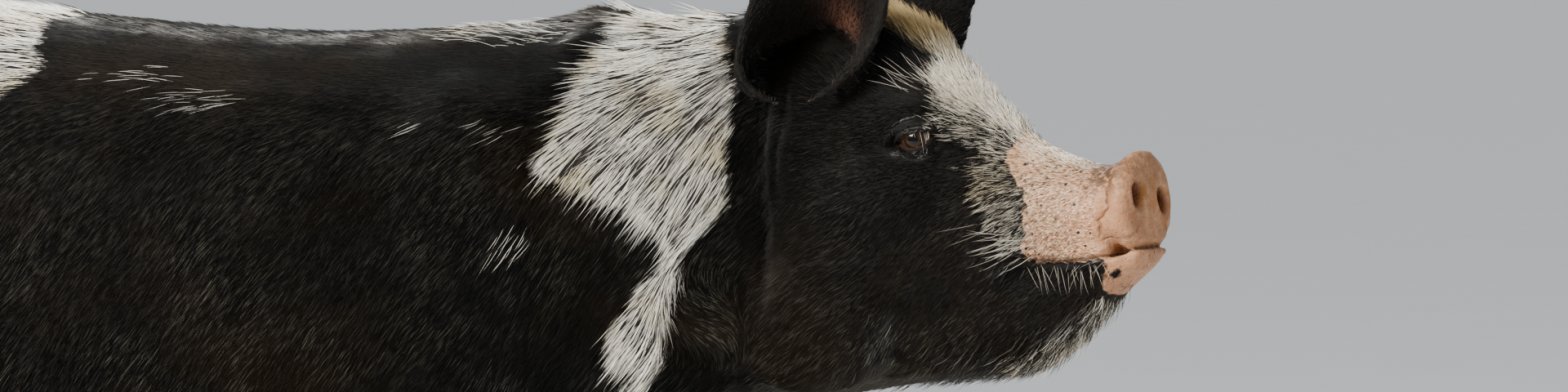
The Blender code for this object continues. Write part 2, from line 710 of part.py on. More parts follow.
def part_flesh(flesh, pig, helpers, coat):
    """Cuts the blended flesh into the pieces that a person would name."""
    snout_axis = head_direction((math.cos(SNOUT_TILT), 0.0, -math.sin(SNOUT_TILT)))
    snout_cut = (in_head((SNOUT_BACK, 0.0, SNOUT_HEIGHT)), snout_axis)
    head_cut = (in_head((FACE_BACK, 0.0, 0.6)), -head_direction((1.0, 0.0, 0.0)))
    pieces = {}
    whole_head = sliced(flesh, "head", [head_cut], pig, coat)
    jaw = sliced(flesh, "lower_jaw", [head_cut], pig, coat)
    for piece, above in ((whole_head, True), (jaw, False)):
        keep = piece.modifiers.new("mouth", "BOOLEAN")
        keep.operation = "INTERSECT"
        keep.object = mouth_cutter(helpers, f"{piece.name}_side", above)
    # Only the upper half meets the snout disc, so the lower lip keeps its own front.
    trimmed = sliced(evaluated_mesh(whole_head), "head_trimmed", [snout_cut], pig, coat)
    bpy.data.objects.remove(whole_head, do_unlink=True)
    trimmed.name = "head"
    pieces["head"] = trimmed
    pieces["lower_jaw"] = jaw
    pieces["neck"] = sliced(flesh, "neck", [flipped(head_cut), NECK_CUT], pig, coat)
    trunk = sliced(flesh, "trunk", [flipped(NECK_CUT)], pig, coat)
    pieces["trunk"] = trunk
    for kind, level in LEG_TOPS.items():
        cut = trunk.modifiers.new(f"{kind}legs", "BOOLEAN")
        cut.object = leg_block(kind, level, helpers)
    for side_name, side in SIDES.items():
        for kind, feet in (("fore", FORE_FEET), ("hind", HIND_FEET)):
            foot = feet[side_name]
            near, far = LEG_ENDS[kind]
            knee_height, knee_slope = KNEE_CUTS[kind]
            middle = (Vector((near, 0.0, 0.0)), Vector((near - far, 0.0, 0.0)))
            inner = (Vector((0.0, 0.0, 0.0)), Vector((0.0, -side, 0.0)))
            inner_top = Vector((0.0, side * LEG_INNER, LEG_TOPS[kind]))
            top_cut = (inner_top, Vector((0.0, -side * LEG_RISE, 1.0)))
            knee = (Vector((foot.x, foot.y, knee_height)), Vector((knee_slope, 0.0, 1.0)))
            sole = (
                Vector((foot.x, foot.y, CORONET)),
                Vector((math.sin(CORONET_SLOPE), 0.0, -math.cos(CORONET_SLOPE))),
            )
            upper = f"{kind}leg_{side_name}_upper"
            lower = f"{kind}leg_{side_name}_lower"
            pieces[upper] = sliced(flesh, upper, [middle, inner, top_cut, flipped(knee)], pig, coat)
            pieces[lower] = sliced(flesh, lower, [middle, inner, knee, sole], pig, coat)
    return pieces


def leg_block(kind, level, helpers):
    """What the trunk gives up to a pair of legs: a block whose top rises outwards over each leg."""
    lift = CUT * math.sqrt(1.0 + LEG_RISE**2) / 2.0
    reach = 0.30
    outer = level + LEG_RISE * (reach - LEG_INNER) + lift
    inner = level - LEG_RISE * LEG_INNER + lift
    outline = [(-reach, outer), (0.0, inner), (reach, outer), (reach, -0.1), (-reach, -0.1)]
    bm = bmesh.new()
    ends = [[bm.verts.new((x, y, z)) for y, z in outline] for x in LEG_ENDS[kind]]
    bm.faces.new(ends[0])
    bm.faces.new(ends[1][::-1])
    for k in range(len(outline)):
        after = (k + 1) % len(outline)
        bm.faces.new((ends[0][k], ends[1][k], ends[1][after], ends[0][after]))
    bmesh.ops.triangulate(bm, faces=bm.faces[:])
    bmesh.ops.recalc_face_normals(bm, faces=bm.faces)
    block = object_from(bm, f"{kind}leg_block", helpers)
    block.display_type = "WIRE"
    return block


def settle_on_origin(pig):
    """Puts the origin on the floor under the middle of the whole animal's box."""
    low, high = Vector((1e9,) * 3), Vector((-1e9,) * 3)
    for thing in pig.objects:
        mesh = evaluated_mesh(thing)
        for vert in mesh.vertices:
            low = Vector(map(min, low, vert.co))
            high = Vector(map(max, high, vert.co))
        bpy.data.meshes.remove(mesh)
    shift = Vector(((low.x + high.x) / -2.0, (low.y + high.y) / -2.0, -low.z))
    for thing in bpy.data.objects:
        thing.data.transform(Matrix.Diagonal((SCALE, SCALE, SCALE, 1.0)) @ Matrix.Translation(shift))
    print("shift", [round(v, 4) for v in shift], "size", [round(v, 4) for v in high - low])


def main():
    clear_scene()
    pig = new_collection("pig")
    helpers = new_collection("cutters", shown=False)
    coat = material("black_coat", COAT_BLACK, 0.55)
    skin = material("bare_skin", SKIN_PINK, 0.5)
    horn = material("hoof_horn", HORN_GREY, 0.4)
    eye = material("eye", EYE_BROWN, 0.1)
    flesh = moulded_flesh(helpers)
    pieces = part_flesh(flesh, pig, helpers, coat)
    clear_of = {name: grown_copy(pieces[name], helpers) for name in ("head", "neck", "trunk")}
    add_snout(pig, helpers, skin)
    add_eyes(pig, helpers, pieces["head"], eye)
    add_ears(pig, [clear_of["head"], clear_of["neck"]], coat)
    add_tail(pig, [clear_of["trunk"]], coat)
    for kind, feet in (("fore", FORE_FEET), ("hind", HIND_FEET)):
        for side_name, foot in feet.items():
            lower = grown_copy(pieces[f"{kind}leg_{side_name}_lower"], helpers)
            add_hooves(f"{kind}_{side_name}", foot, pig, lower, horn)
    settle_on_origin(pig)


main()
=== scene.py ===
import math

import bmesh
import bpy
import numpy as np
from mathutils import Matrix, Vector
from mathutils.bvhtree import BVHTree


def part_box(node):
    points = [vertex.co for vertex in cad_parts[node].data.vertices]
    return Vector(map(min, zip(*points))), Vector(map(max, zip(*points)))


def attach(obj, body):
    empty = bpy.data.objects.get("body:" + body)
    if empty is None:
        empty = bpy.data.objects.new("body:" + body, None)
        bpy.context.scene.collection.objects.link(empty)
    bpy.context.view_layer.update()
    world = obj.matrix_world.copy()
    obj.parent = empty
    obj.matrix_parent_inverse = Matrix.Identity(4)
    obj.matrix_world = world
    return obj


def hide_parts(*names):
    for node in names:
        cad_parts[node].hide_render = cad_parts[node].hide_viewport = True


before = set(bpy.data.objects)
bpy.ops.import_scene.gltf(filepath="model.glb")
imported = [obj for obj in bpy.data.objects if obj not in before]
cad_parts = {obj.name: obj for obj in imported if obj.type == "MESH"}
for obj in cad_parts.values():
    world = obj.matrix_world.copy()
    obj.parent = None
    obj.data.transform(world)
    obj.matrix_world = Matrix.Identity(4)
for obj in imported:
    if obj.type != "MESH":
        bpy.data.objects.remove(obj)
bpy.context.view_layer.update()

fleshNodes = [
    "trunk", "neck", "head", "lower_jaw", "snout_disc", "tail", "ear_right", "ear_left",
    "foreleg_right_upper", "foreleg_right_lower", "foreleg_left_upper", "foreleg_left_lower",
    "hindleg_right_upper", "hindleg_right_lower", "hindleg_left_upper", "hindleg_left_lower",
]  # one skin stands for all of these
eyeNodes = ["eye_right", "eye_left"]
clawNodes = [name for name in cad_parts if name.startswith(("hoof_", "dewclaw_"))]

# where the head is

headMeasures = dict(
    eyesAhead=0.1145,  # the eyes lie this far ahead of the poll
    mouthBack=(0.187, 0.5625),  # corner of the mouth: ahead of the poll, height
    mouthFront=(0.302, 0.576),
    mouthDip=0.009,
    mouthLean=0.8,
    discMiddle=0.6025,  # height of the middle of the snout disc
    discBack=0.262,
    discTilt=0.0875,
    nostrilNear=(0.0190, 0.0085),  # out from the middle, above the middle of the disc
    nostrilFar=(0.0188, 0.0022),
)


def middleOf(node):
    low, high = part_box(node)
    return (Vector(low) + Vector(high)) / 2


def addObject(name, data):
    made = bpy.data.objects.new(name, data)
    bpy.context.scene.collection.objects.link(made)
    return made


eyeMiddle = {side: middleOf("eye_" + side) for side in ("right", "left")}
headLeft = (eyeMiddle["left"] - eyeMiddle["right"]).normalized()
headAhead = Vector((headLeft.y, -headLeft.x, 0.0))
pollPlace = (eyeMiddle["left"] + eyeMiddle["right"]) / 2 - headAhead * headMeasures["eyesAhead"]
pollPlace.z = 0.0
headAxes = np.array([headAhead, headLeft, (0.0, 0.0, 1.0)])


def toHead(points):
    return (np.asarray(points) - np.array(pollPlace)) @ headAxes.T


def fromHead(vectors):  # directions, not places
    return np.asarray(vectors) @ headAxes


def ease(value, low, high):
    t = np.clip((value - low) / (high - low), 0.0, 1.0)
    return t * t * (3.0 - 2.0 * t)


def bump(value, middle, spread):
    return np.exp(-(((value - middle) / spread) ** 2))


def ripple(points, size, seed):  # smooth waves of about that size, from -1 to 1
    chance = np.random.default_rng(seed)
    total = np.zeros(len(points))
    for turn in range(7):
        heading = chance.normal(size=3)
        heading *= 2 * math.pi / size / np.linalg.norm(heading) * chance.uniform(0.6, 1.6)
        total += np.sin(points @ heading + chance.uniform(0, 6.28))
    return total / 3.2


def rows(*parts):  # one row for each point, from arrays and plain numbers
    return np.column_stack(np.broadcast_arrays(*parts))


def layered(value, *layers):  # each layer lies over the ones before it
    for where, over in layers:
        value = np.where(where, over, value)
    return value


def least(*values):
    return np.minimum.reduce(np.broadcast_arrays(*values))


def most(*values):
    return np.maximum.reduce(np.broadcast_arrays(*values))


# skin

skinMake = dict(
    grow=0.0010,  # closes the thin cuts between the solids
    cell=0.0086,  # size of the faces on the body
    headZoom=2.45,  # the head's faces are this much smaller
    zoomFrom=0.30,
    zoomTo=0.44,
    zoomMiddle=(-0.08, 0.60),
    smoothing=12,
    finerEyes=(0.030, 0.020),  # the faces are halved within these distances, one after the other
    finerNostrils=0.024,
    finerRim=0.010,
    finerLips=0.0075,
    intoClaws=0.0085,  # the soles are pushed this far down into the claws
)


def mergedCopy(name):
    made = bmesh.new()
    made.from_mesh(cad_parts[name].data)
    bmesh.ops.remove_doubles(made, verts=made.verts, dist=0.00001)
    made.normal_update()
    return made


def plainMesh(name, made):
    mesh = bpy.data.meshes.new(name)
    made.to_mesh(mesh)
    made.free()
    return mesh


def rowsOf(items, key, width, kind=float):
    values = np.empty(len(items) * width, dtype=kind)
    items.foreach_get(key, values)
    return values.reshape(-1, width)


def placesOf(mesh):
    return rowsOf(mesh.vertices, "co", 3)


def setPlaces(mesh, places):
    mesh.vertices.foreach_set("co", np.ascontiguousarray(places).ravel())
    mesh.update()


def normalsOf(mesh):
    return rowsOf(mesh.vertex_normals, "vector", 3)


def edgesOf(mesh):
    return rowsOf(mesh.edges, "vertices", 2, np.int64)


def evened(values, edges, strength, rounds):  # smooths without shrinking
    count = np.bincount(edges.ravel(), minlength=len(values)).clip(1)[:, None]
    for turn in range(rounds):
        for push in (0.52, -0.54):
            total = np.stack([
                np.bincount(edges[:, 0], column[edges[:, 1]], len(values))
                + np.bincount(edges[:, 1], column[edges[:, 0]], len(values))
                for column in values.T
            ], axis=1)
            values = values + (total / count - values) * (strength * push)[:, None]
    return values


zoomAt = np.linspace(-1.2, 1.2, 2401)
zoomBy = 1.0 + (skinMake["headZoom"] - 1.0) * ease(zoomAt, skinMake["zoomFrom"], skinMake["zoomTo"])
zoomSum = np.concatenate([[0.0], np.cumsum((zoomBy[1:] + zoomBy[:-1]) / 2 * np.diff(zoomAt))])
zoomSum += zoomAt[0]


def zoomedIn(places):
    by = np.interp(places[:, 0], zoomAt, zoomBy)[:, None]
    middle = np.array(skinMake["zoomMiddle"])
    return np.column_stack([
        np.interp(places[:, 0], zoomAt, zoomSum), middle + (places[:, 1:] - middle) * by
    ])


def zoomedOut(places):
    along = np.interp(places[:, 0], zoomSum, zoomAt)
    by = np.interp(along, zoomAt, zoomBy)[:, None]
    middle = np.array(skinMake["zoomMiddle"])
    return np.column_stack([along, middle + (places[:, 1:] - middle) / by])


def joinedFlesh():
    joined = bmesh.new()
    for name in fleshNodes + eyeNodes:
        part = mergedCopy(name)
        for corner in part.verts:
            corner.co += corner.normal * skinMake["grow"]
        mesh = plainMesh("part", part)
        joined.from_mesh(mesh)
        bpy.data.meshes.remove(mesh)
    return plainMesh("flesh", joined)


def remeshed(mesh):
    rough = addObject("rough", mesh)
    step = rough.modifiers.new("cells", "REMESH")
    step.mode = "VOXEL"
    step.voxel_size = skinMake["cell"]
    depsgraph = bpy.context.evaluated_depsgraph_get()
    made = bpy.data.meshes.new_from_object(rough.evaluated_get(depsgraph))
    bpy.data.objects.remove(rough, do_unlink=True)
    return made


def refined(mesh, near):  # splits the faces whose middles near() picks
    made = bmesh.new()
    made.from_mesh(mesh)
    picked = near(np.array([face.calc_center_median() for face in made.faces]))
    edges = {edge for face, wanted in zip(made.faces, picked) if wanted for edge in face.edges}
    bmesh.ops.subdivide_edges(made, edges=list(edges), cuts=1, use_grid_fill=True)
    ngons = [face for face in made.faces if len(face.verts) > 4]
    bmesh.ops.triangulate(made, faces=ngons)
    made.to_mesh(mesh)
    made.free()
    mesh.update()


def mouthHeight(ahead):
    (back, low), (front, high) = headMeasures["mouthBack"], headMeasures["mouthFront"]
    t = np.clip((ahead - back) / (front - back), 0.0, 1.0)
    dip = headMeasures["mouthDip"] * np.sin(np.pi * t ** headMeasures["mouthLean"])
    return low + (high - low) * t - dip


def pastDiscEdge(head):  # how far ahead of the disc's back edge
    lean = headMeasures["discTilt"] * (headMeasures["discMiddle"] - head[:, 2])
    return head[:, 0] - headMeasures["discBack"] - lean


def nearEyes(points):
    return least(*[np.linalg.norm(points - np.array(middle), axis=1) for middle in eyeMiddle.values()])


def nearNostril(points):
    a, b, c = toHead(points).T  # ahead of the poll, to the left, up
    out = (np.abs(b) - headMeasures["nostrilNear"][0]) / 0.7
    gap = np.hypot(out, c - headMeasures["discMiddle"] - 0.005)
    return (a > headMeasures["discBack"]) & (gap < skinMake["finerNostrils"])


def nearRim(points):
    head = toHead(points)
    return (np.abs(pastDiscEdge(head) + 0.003) < skinMake["finerRim"]) & (head[:, 2] > 0.566)


def nearMouth(points):
    a, b, c = toHead(points).T
    return (a > 0.176) & (np.abs(c - mouthHeight(a)) < skinMake["finerLips"]) & (np.abs(b) < 0.06)


flesh = joinedFlesh()
setPlaces(flesh, zoomedIn(placesOf(flesh)))
skinMesh = remeshed(flesh)
setPlaces(skinMesh, zoomedOut(placesOf(skinMesh)))
print("skin cells", len(skinMesh.polygons))
everywhere = np.ones(len(skinMesh.vertices))
setPlaces(skinMesh, evened(placesOf(skinMesh), edgesOf(skinMesh), everywhere, skinMake["smoothing"]))
for reach in skinMake["finerEyes"]:
    refined(skinMesh, lambda points: nearEyes(points) < reach)
refined(skinMesh, lambda points: nearNostril(points) | nearMouth(points) | nearRim(points))
refined(skinMesh, nearRim)
skinPlaces = placesOf(skinMesh)
skinHead = toHead(skinPlaces)
fine = (nearEyes(skinPlaces) < 0.034) | nearNostril(skinPlaces) | nearMouth(skinPlaces)
skinPlaces = evened(skinPlaces, edgesOf(skinMesh), fine.astype(float), 4)
setPlaces(skinMesh, skinPlaces)
print("skin faces", len(skinMesh.polygons))


def ownersOf(points):  # which of the solids each point lies nearest to
    corners, faces, owners = [], [], []
    for index, name in enumerate(fleshNodes):
        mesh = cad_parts[name].data
        first = len(corners)
        corners += [corner.co.copy() for corner in mesh.vertices]
        faces += [[first + k for k in face.vertices] for face in mesh.polygons]
        owners += [index] * len(mesh.polygons)
    tree = BVHTree.FromPolygons(corners, faces)
    found = [tree.find_nearest(Vector(point))[2] for point in points]
    return np.array(owners)[found]


skinOwner = ownersOf(skinPlaces)


def ownedBy(*names):
    return np.isin(skinOwner, [fleshNodes.index(name) for name in names])


earSkin = ownedBy("ear_right", "ear_left")
legSkin = ownedBy(*[name for name in fleshNodes if "leg_" in name])
lowerLegSkin = ownedBy(*[name for name in fleshNodes if name.endswith("_lower")])
headSkin = ownedBy("head", "lower_jaw", "snout_disc")
discSkin = ownedBy("snout_disc")
tailSkin = ownedBy("tail")
print("owners found")

# the skin is carved: lids, nostrils, lips, folds

lidShape = dict(
    outward=(0.30, 0.95, 0.06),  # the way the eye looks, in the head's axes
    slant=math.radians(15.0),
    halfWide=0.0135,
    upper=0.0030,
    lower=0.0064,
    ball=0.0130,
    edge=0.0010,  # the lid's edge stands this far out of the eye
    heavy=0.0042,
    light=0.0020,
)
foldShape = dict(  # height, place along its line, width, lower and upper end, softness of the ends
    main=(-0.0062, 0.0, 0.0036, (0.560, 0.682), 0.045),  # the deep fold behind the jowl
    valley=(-0.0080, -0.004, 0.0170, (0.530, 0.690), 0.05),
    roll=(0.0024, 0.026, 0.014, (0.50, 0.66), 0.05),
    side=(-0.0024, 0.0, 0.0036, (0.612, 0.684), 0.030),  # a short shallow one ahead of it
    mainAt=0.4560,
    sideAt=0.4735,
)
faceShape = dict(
    swells=(  # height, then middle and spread ahead, up and outwards
        (0.0032, (0.106, 0.020), (0.676, 0.008), (0.052, 0.02)),
        (-0.0036, (0.139, 0.007), (0.638, 0.010), (0.050, 0.02)),
    ),
    browWrinkles=3,
    browDeep=0.0009,
    muzzleWrinkles=((0.232, 0.0005), (0.2480, 0.0014)),  # place and depth
    creaseDeep=0.0024,
    slantDeep=0.0018,
    lipDeep=0.0034,
    lipHigh=0.0014,
)


def lidFrame(side):
    sign = -1.0 if side == "right" else 1.0
    outward = np.array(lidShape["outward"]) * (1.0, sign, 1.0)
    outward /= np.linalg.norm(outward)
    ahead = np.array((1.0, 0.0, 0.0))
    ahead -= outward * (ahead @ outward)
    ahead /= np.linalg.norm(ahead)
    up = np.cross(outward, ahead)
    up *= np.sign(up[2])
    turn = lidShape["slant"]
    along = ahead * math.cos(turn) + up * math.sin(turn)
    across = up * math.cos(turn) - ahead * math.sin(turn)
    return along, across, outward


def lidPlace(head, side):  # along the opening, across it, outwards, and the gap to its edge
    middle = toHead([eyeMiddle[side]])[0]
    along, across, outward = lidFrame(side)
    u, v, w = (head - middle) @ along, (head - middle) @ across, (head - middle) @ outward
    share = np.clip(1.0 - (u / lidShape["halfWide"]) ** 2, 0.0, 1.0)
    inside = np.maximum(v - lidShape["upper"] * share, -v - lidShape["lower"] * share)
    beyond = np.hypot(np.maximum(np.abs(u) - lidShape["halfWide"], 0.0), v)
    gap = np.where(np.abs(u) < lidShape["halfWide"], inside, beyond)
    return u, v, w, gap


def carveLids(head, side):
    u, v, w, gap = lidPlace(head, side)
    radius = np.hypot(u, v)
    near = (radius < 0.030) & (w > -0.004)
    ball = lidShape["ball"]
    above = ease(v, -0.002, 0.002)
    thick = lidShape["light"] + (lidShape["heavy"] - lidShape["light"]) * above
    margin = lidShape["edge"] + (thick - lidShape["edge"]) * ease(gap, 0.0008, 0.0035)
    lid = np.sqrt(np.clip((ball + margin) ** 2 - radius ** 2, 0.0, None))
    hidden = np.sqrt(np.clip(ball ** 2 - radius ** 2, 0.0, None)) - 0.0030
    folds = -0.0016 * bump(gap, 0.0056, 0.0010) * (0.4 + 0.6 * above)
    folds -= 0.0022 * bump(gap, 0.0125, 0.0016) * above + 0.0007 * bump(gap, 0.0092, 0.0010)
    folds += 0.0016 * bump(gap, 0.0092, 0.0025) * above
    shaped = lid * (1 - ease(gap, 0.0035, 0.0120)) + w * ease(gap, 0.0035, 0.0120) + folds
    target = hidden + (shaped - hidden) * ease(gap, -0.0007, 0.0005)
    outward = lidFrame(side)[2]
    moved = head + outward * ((target - w) * ease(radius, 0.030, 0.024))[:, None]
    return np.where(near[:, None], moved, head)


def discCreases(head):  # the line behind the disc, and the slanting one up its corner
    a, b, c = head.T
    b = np.abs(b)
    past = pastDiscEdge(head)
    past = past - np.interp(c, (0.575, 0.592, 0.601, 0.618), (-0.001, -0.0005, 0.0062, 0.0074))
    crease = bump(past, 0.0007 * np.sin(c * 900.0) + 0.0006 * np.sin(c * 410.0), 0.0009)
    crease = crease * ease(c, 0.576, 0.584) * (1 - ease(c, 0.614, 0.622)) * (b > 0.012)
    slant = bump((c - 0.5810) + 0.95 * (b - 0.0270), 0.0, 0.0011) * bump(b, 0.0275, 0.0085)
    return past, crease, slant * ease(past, -0.002, 0.003)


def carveFace(head):
    a, b, c = head.T
    b = np.abs(b)
    swell = np.zeros(len(head))
    for high, ahead, up, out in faceShape["swells"]:
        swell += high * bump(a, *ahead) * bump(c, *up) * bump(b, *out)
    for k in range(faceShape["browWrinkles"]):  # they lean forward
        line = (c - 0.692 - 0.009 * k) - 0.45 * (a - 0.100)
        swell -= faceShape["browDeep"] * bump(line, 0.0, 0.0016) * bump(a, 0.105, 0.022) * (b > 0.02)
    for at, deep in faceShape["muzzleWrinkles"]:
        line = a - at - 0.10 * (c - 0.600) + 0.0012 * np.sin(c * 170.0)
        swell -= deep * bump(line, 0.0, 0.0018) * bump(c, 0.606, 0.026) * (b > 0.015)
    past, crease, slant = discCreases(head)
    dent = 0.0014 * bump(past, -0.001, 0.0040) * ease(c, 0.580, 0.596)
    swell -= faceShape["creaseDeep"] * crease + dent + faceShape["slantDeep"] * slant
    swell += 0.0016 * bump(past, 0.010, 0.006) * ease(b, 0.015, 0.03)
    mouthOpen = ease(a, 0.180, 0.190)
    lips = (c - mouthHeight(a)) * ease(a, 0.178, 0.188)
    swell -= faceShape["lipDeep"] * bump(lips, 0.0, 0.0013) * mouthOpen
    swell += faceShape["lipHigh"] * (bump(lips, 0.0052, 0.0032) + bump(lips, -0.0046, 0.0030)) * mouthOpen
    return swell


def nostrilSpan(head):  # 1 at the rim of a nostril, which narrows downwards
    a, b, c = head.T
    pairs = zip(headMeasures["nostrilFar"], headMeasures["nostrilNear"])
    side, above = [np.where(b > 0, far, near) for far, near in pairs]
    up = (c - headMeasures["discMiddle"] - above) / 0.0112
    out = (np.abs(b) - side + 0.0015 * up) / (0.0082 + 0.0012 * up)
    return up, out


def carveNostrils(head):
    a, b, c = head.T
    up, out = nostrilSpan(head)
    radius = np.hypot(up, out)
    face = ease(a, 0.266, 0.274)
    move = np.zeros_like(head)
    move[:, 0] = face * (0.0011 * bump(radius, 1.30, 0.22) - 0.0060 * (1 - ease(radius, 0.25, 1.05)))
    return head + move


def carveNeck(places):
    x, y, z = places.T
    mainLine = x - foldShape["mainAt"] - 0.05 * (0.62 - z) + 0.0016 * np.sin(z * 62.0)
    sideLine = x - foldShape["sideAt"] + 0.12 * (0.65 - z) + 0.0010 * np.sin(z * 110.0)
    swell = np.zeros(len(places))
    for line, name in ((mainLine, "main"), (mainLine, "valley"), (mainLine, "roll"), (sideLine, "side")):
        high, at, wide, (low, top), soft = foldShape[name]
        within = ease(z, low - soft, low + soft) * (1 - ease(z, top - soft * 0.2, top + soft * 0.6))
        swell += high * bump(line, at, wide) * within
    return swell * ease(-y, 0.02, 0.07)


coatDepths = dict(  # how far the skin lies under the tips of the coat
    body=0.0045, face=0.0016, addedAtPoll=0.0020, leg=0.0034, lowerLeg=0.0018, tail=0.0012, bare=0.0002,
)
skinNormals = normalsOf(skinMesh)
swelling = carveFace(skinHead) * headSkin + carveNeck(skinPlaces) * ~earSkin
coatDepth = layered(
    np.full(len(skinPlaces), coatDepths["body"]),
    (headSkin, coatDepths["face"] + coatDepths["addedAtPoll"] * ease(-skinHead[:, 0], -0.10, -0.02)),
    (legSkin, coatDepths["leg"]),
    (lowerLegSkin, coatDepths["lowerLeg"]),
    (tailSkin, coatDepths["tail"]),
    (earSkin | (headSkin & (skinHead[:, 0] > 0.20)), coatDepths["bare"]),
)
coatDepth = evened(coatDepth[:, None], edgesOf(skinMesh), np.ones(len(skinPlaces)), 6)[:, 0]
skinPlaces = skinPlaces + skinNormals * (swelling - coatDepth - skinMake["grow"])[:, None]
soles = lowerLegSkin & (skinNormals[:, 2] < -0.35) & (skinPlaces[:, 2] < 0.075)
skinPlaces[soles, 2] -= skinMake["intoClaws"]
carved = carveNostrils(toHead(skinPlaces))
for side in eyeMiddle:
    carved = carveLids(carved, side)
skinPlaces[headSkin] = carved[headSkin] @ headAxes + np.array(pollPlace)
setPlaces(skinMesh, skinPlaces)
skinNormals = normalsOf(skinMesh)
skinHead = toHead(skinPlaces)
print("skin carved")

# markings, as distances inside each patch, in metres

beltShape = dict(
    heights=(0.22, 0.30, 0.40, 0.46, 0.505, 0.56, 0.60, 0.625, 0.665, 0.70, 0.74),
    back=(0.10, 0.12, 0.24, 0.352, 0.352, 0.388, 0.352, 0.278, 0.310, 0.325, 0.345),
    front=(0.31, 0.32, 0.345, 0.370, 0.382, 0.400, 0.432, 0.434, 0.434, 0.430, 0.425),
    ragged=0.008,
    moved=0.0036,
)
blazeShape = dict(
    heights=(0.638, 0.650, 0.663, 0.681, 0.695, 0.705, 0.7105, 0.718, 0.730, 0.745, 0.757),
    halfWide=(0.046, 0.046, 0.049, 0.050, 0.038, 0.020, 0.012, 0.024, 0.024, 0.018, 0.008),
    lineAlong=(0.105, 0.115, 0.129, 0.141, 0.158, 0.173, 0.183, 0.200),  # lower edge of the dense white
    lineHeights=(0.702, 0.694, 0.676, 0.670, 0.663, 0.654, 0.645, 0.630),
    ringHeights=(0.572, 0.587, 0.600, 0.617, 0.632, 0.642),
    ringWide=(0.015, 0.027, 0.036, 0.037, 0.022, 0.017),
    ringThin=-0.0003,
    curlThin=-0.0006,
    pinkTop=0.180,
    pinkSide=0.203,
)
saddleShape = dict(middle=(-0.230, 0.735), half=(0.112, 0.100))  # the patch over the loins


def beltMark(places):
    x, y, z = places.T
    x = x + beltShape["moved"]
    shift = beltShape["ragged"] * ripple(places, 0.055, 3) + 0.006 * ripple(places, 0.02, 4)
    left = 0.016 * ease(y, 0.0, 0.08)
    back = np.interp(z, beltShape["heights"], beltShape["back"]) + shift - left
    front = np.interp(z, beltShape["heights"], beltShape["front"]) + shift * 0.5 + left
    return np.minimum(x - back, front - x)


def saddleMark(places):
    x, y, z = places.T
    (cx, cz), (hx, hz) = saddleShape["middle"], saddleShape["half"]
    radius = np.hypot((x - cx) / hx, (cz - z) / hz)
    return (1.0 - radius) * 0.10 + 0.012 * ripple(places, 0.06, 5)


def pinkMark(head):
    a, b, c = head.T
    top, side = blazeShape["pinkTop"], blazeShape["pinkSide"]
    edge = top + (side - top) * ease(-c, -0.645, -0.600)
    upper = a - edge + 0.0026 * ripple(head, 0.012, 6)
    below = c - mouthHeight(a)
    deep = 0.013 + 0.013 * ease(-np.abs(b), -0.025, -0.017)  # the pink reaches lower in front
    lip = least(a - 0.264, below + deep) + 0.0015 * ripple(head, 0.010, 7)
    blotch = 0.0045 - np.hypot(a - 0.264, (c - 0.541) / 2.0) + 0.001 * ripple(head, 0.009, 17)
    return np.where(below > -0.0005, upper, most(lip, blotch))


def blazeMark(head, pink):
    a, b, c = head.T
    lineAlong, lineHeights = blazeShape["lineAlong"], blazeShape["lineHeights"]
    half = np.interp(c, blazeShape["heights"], blazeShape["halfWide"])
    dense = c - np.interp(a, lineAlong, lineHeights) + 0.0035 * ripple(head, 0.012, 8)
    top = least(half - np.abs(b + 0.002), c - 0.630, a - 0.050, np.where(a < lineAlong[0], 1.0, dense))
    wide = np.interp(c, blazeShape["ringHeights"], blazeShape["ringWide"])
    ring = least(
        wide + pink + 0.007 * ripple(head, 0.012, 18),
        c - 0.567 + 0.003 * ripple(head, 0.008, 19),
        blazeShape["ringThin"] + 0.0016 * ripple(head, 0.009, 20),
    )
    thin = blazeShape["curlThin"] + 0.002 * ripple(head, 0.010, 21)
    return most(top, ring, least(dense + 0.015, a - 0.128, 0.186 - a, thin))


limbMarks = dict(foreSock=0.33, hindSock=0.150, sockRagged=0.02, tailTip=0.745)

x, y, z = skinPlaces.T
a, b, c = skinHead.T  # ahead of the poll, to the left, up
pink = np.where(headSkin, pinkMark(skinHead), -0.2)
belt = beltMark(skinPlaces)
earRim = earSkin * (1 - ease(c, 0.684, 0.700))
white = layered(
    np.maximum(belt, saddleMark(skinPlaces)),
    (headSkin, blazeMark(skinHead, pink)),
    (ownedBy("head") & (a < 0.0), belt),
    (earSkin, -0.2 + 0.1955 * earRim),
)
chinSkin = ownedBy("lower_jaw") & (pink < -0.002)
under = -skinNormals[:, 2]
chinPale = most(
    ease(under, 0.42, 0.72) * ease(a, 0.130, 0.200),
    0.5 * ease(under, 0.60, 0.90) * ease(a, 0.07, 0.12),
)
sockTop = np.where(x > 0.0, limbMarks["foreSock"], limbMarks["hindSock"])
sockTop = sockTop + limbMarks["sockRagged"] * ripple(skinPlaces, 0.08, 9)
white = layered(
    white,
    (chinSkin, np.maximum(white, -0.009 + 0.0070 * chinPale)),
    (legSkin, np.maximum(white, sockTop - z)),
    (tailSkin, -x - limbMarks["tailTip"]),
)
print("marks laid")

# the lie, length and thickness of the coat

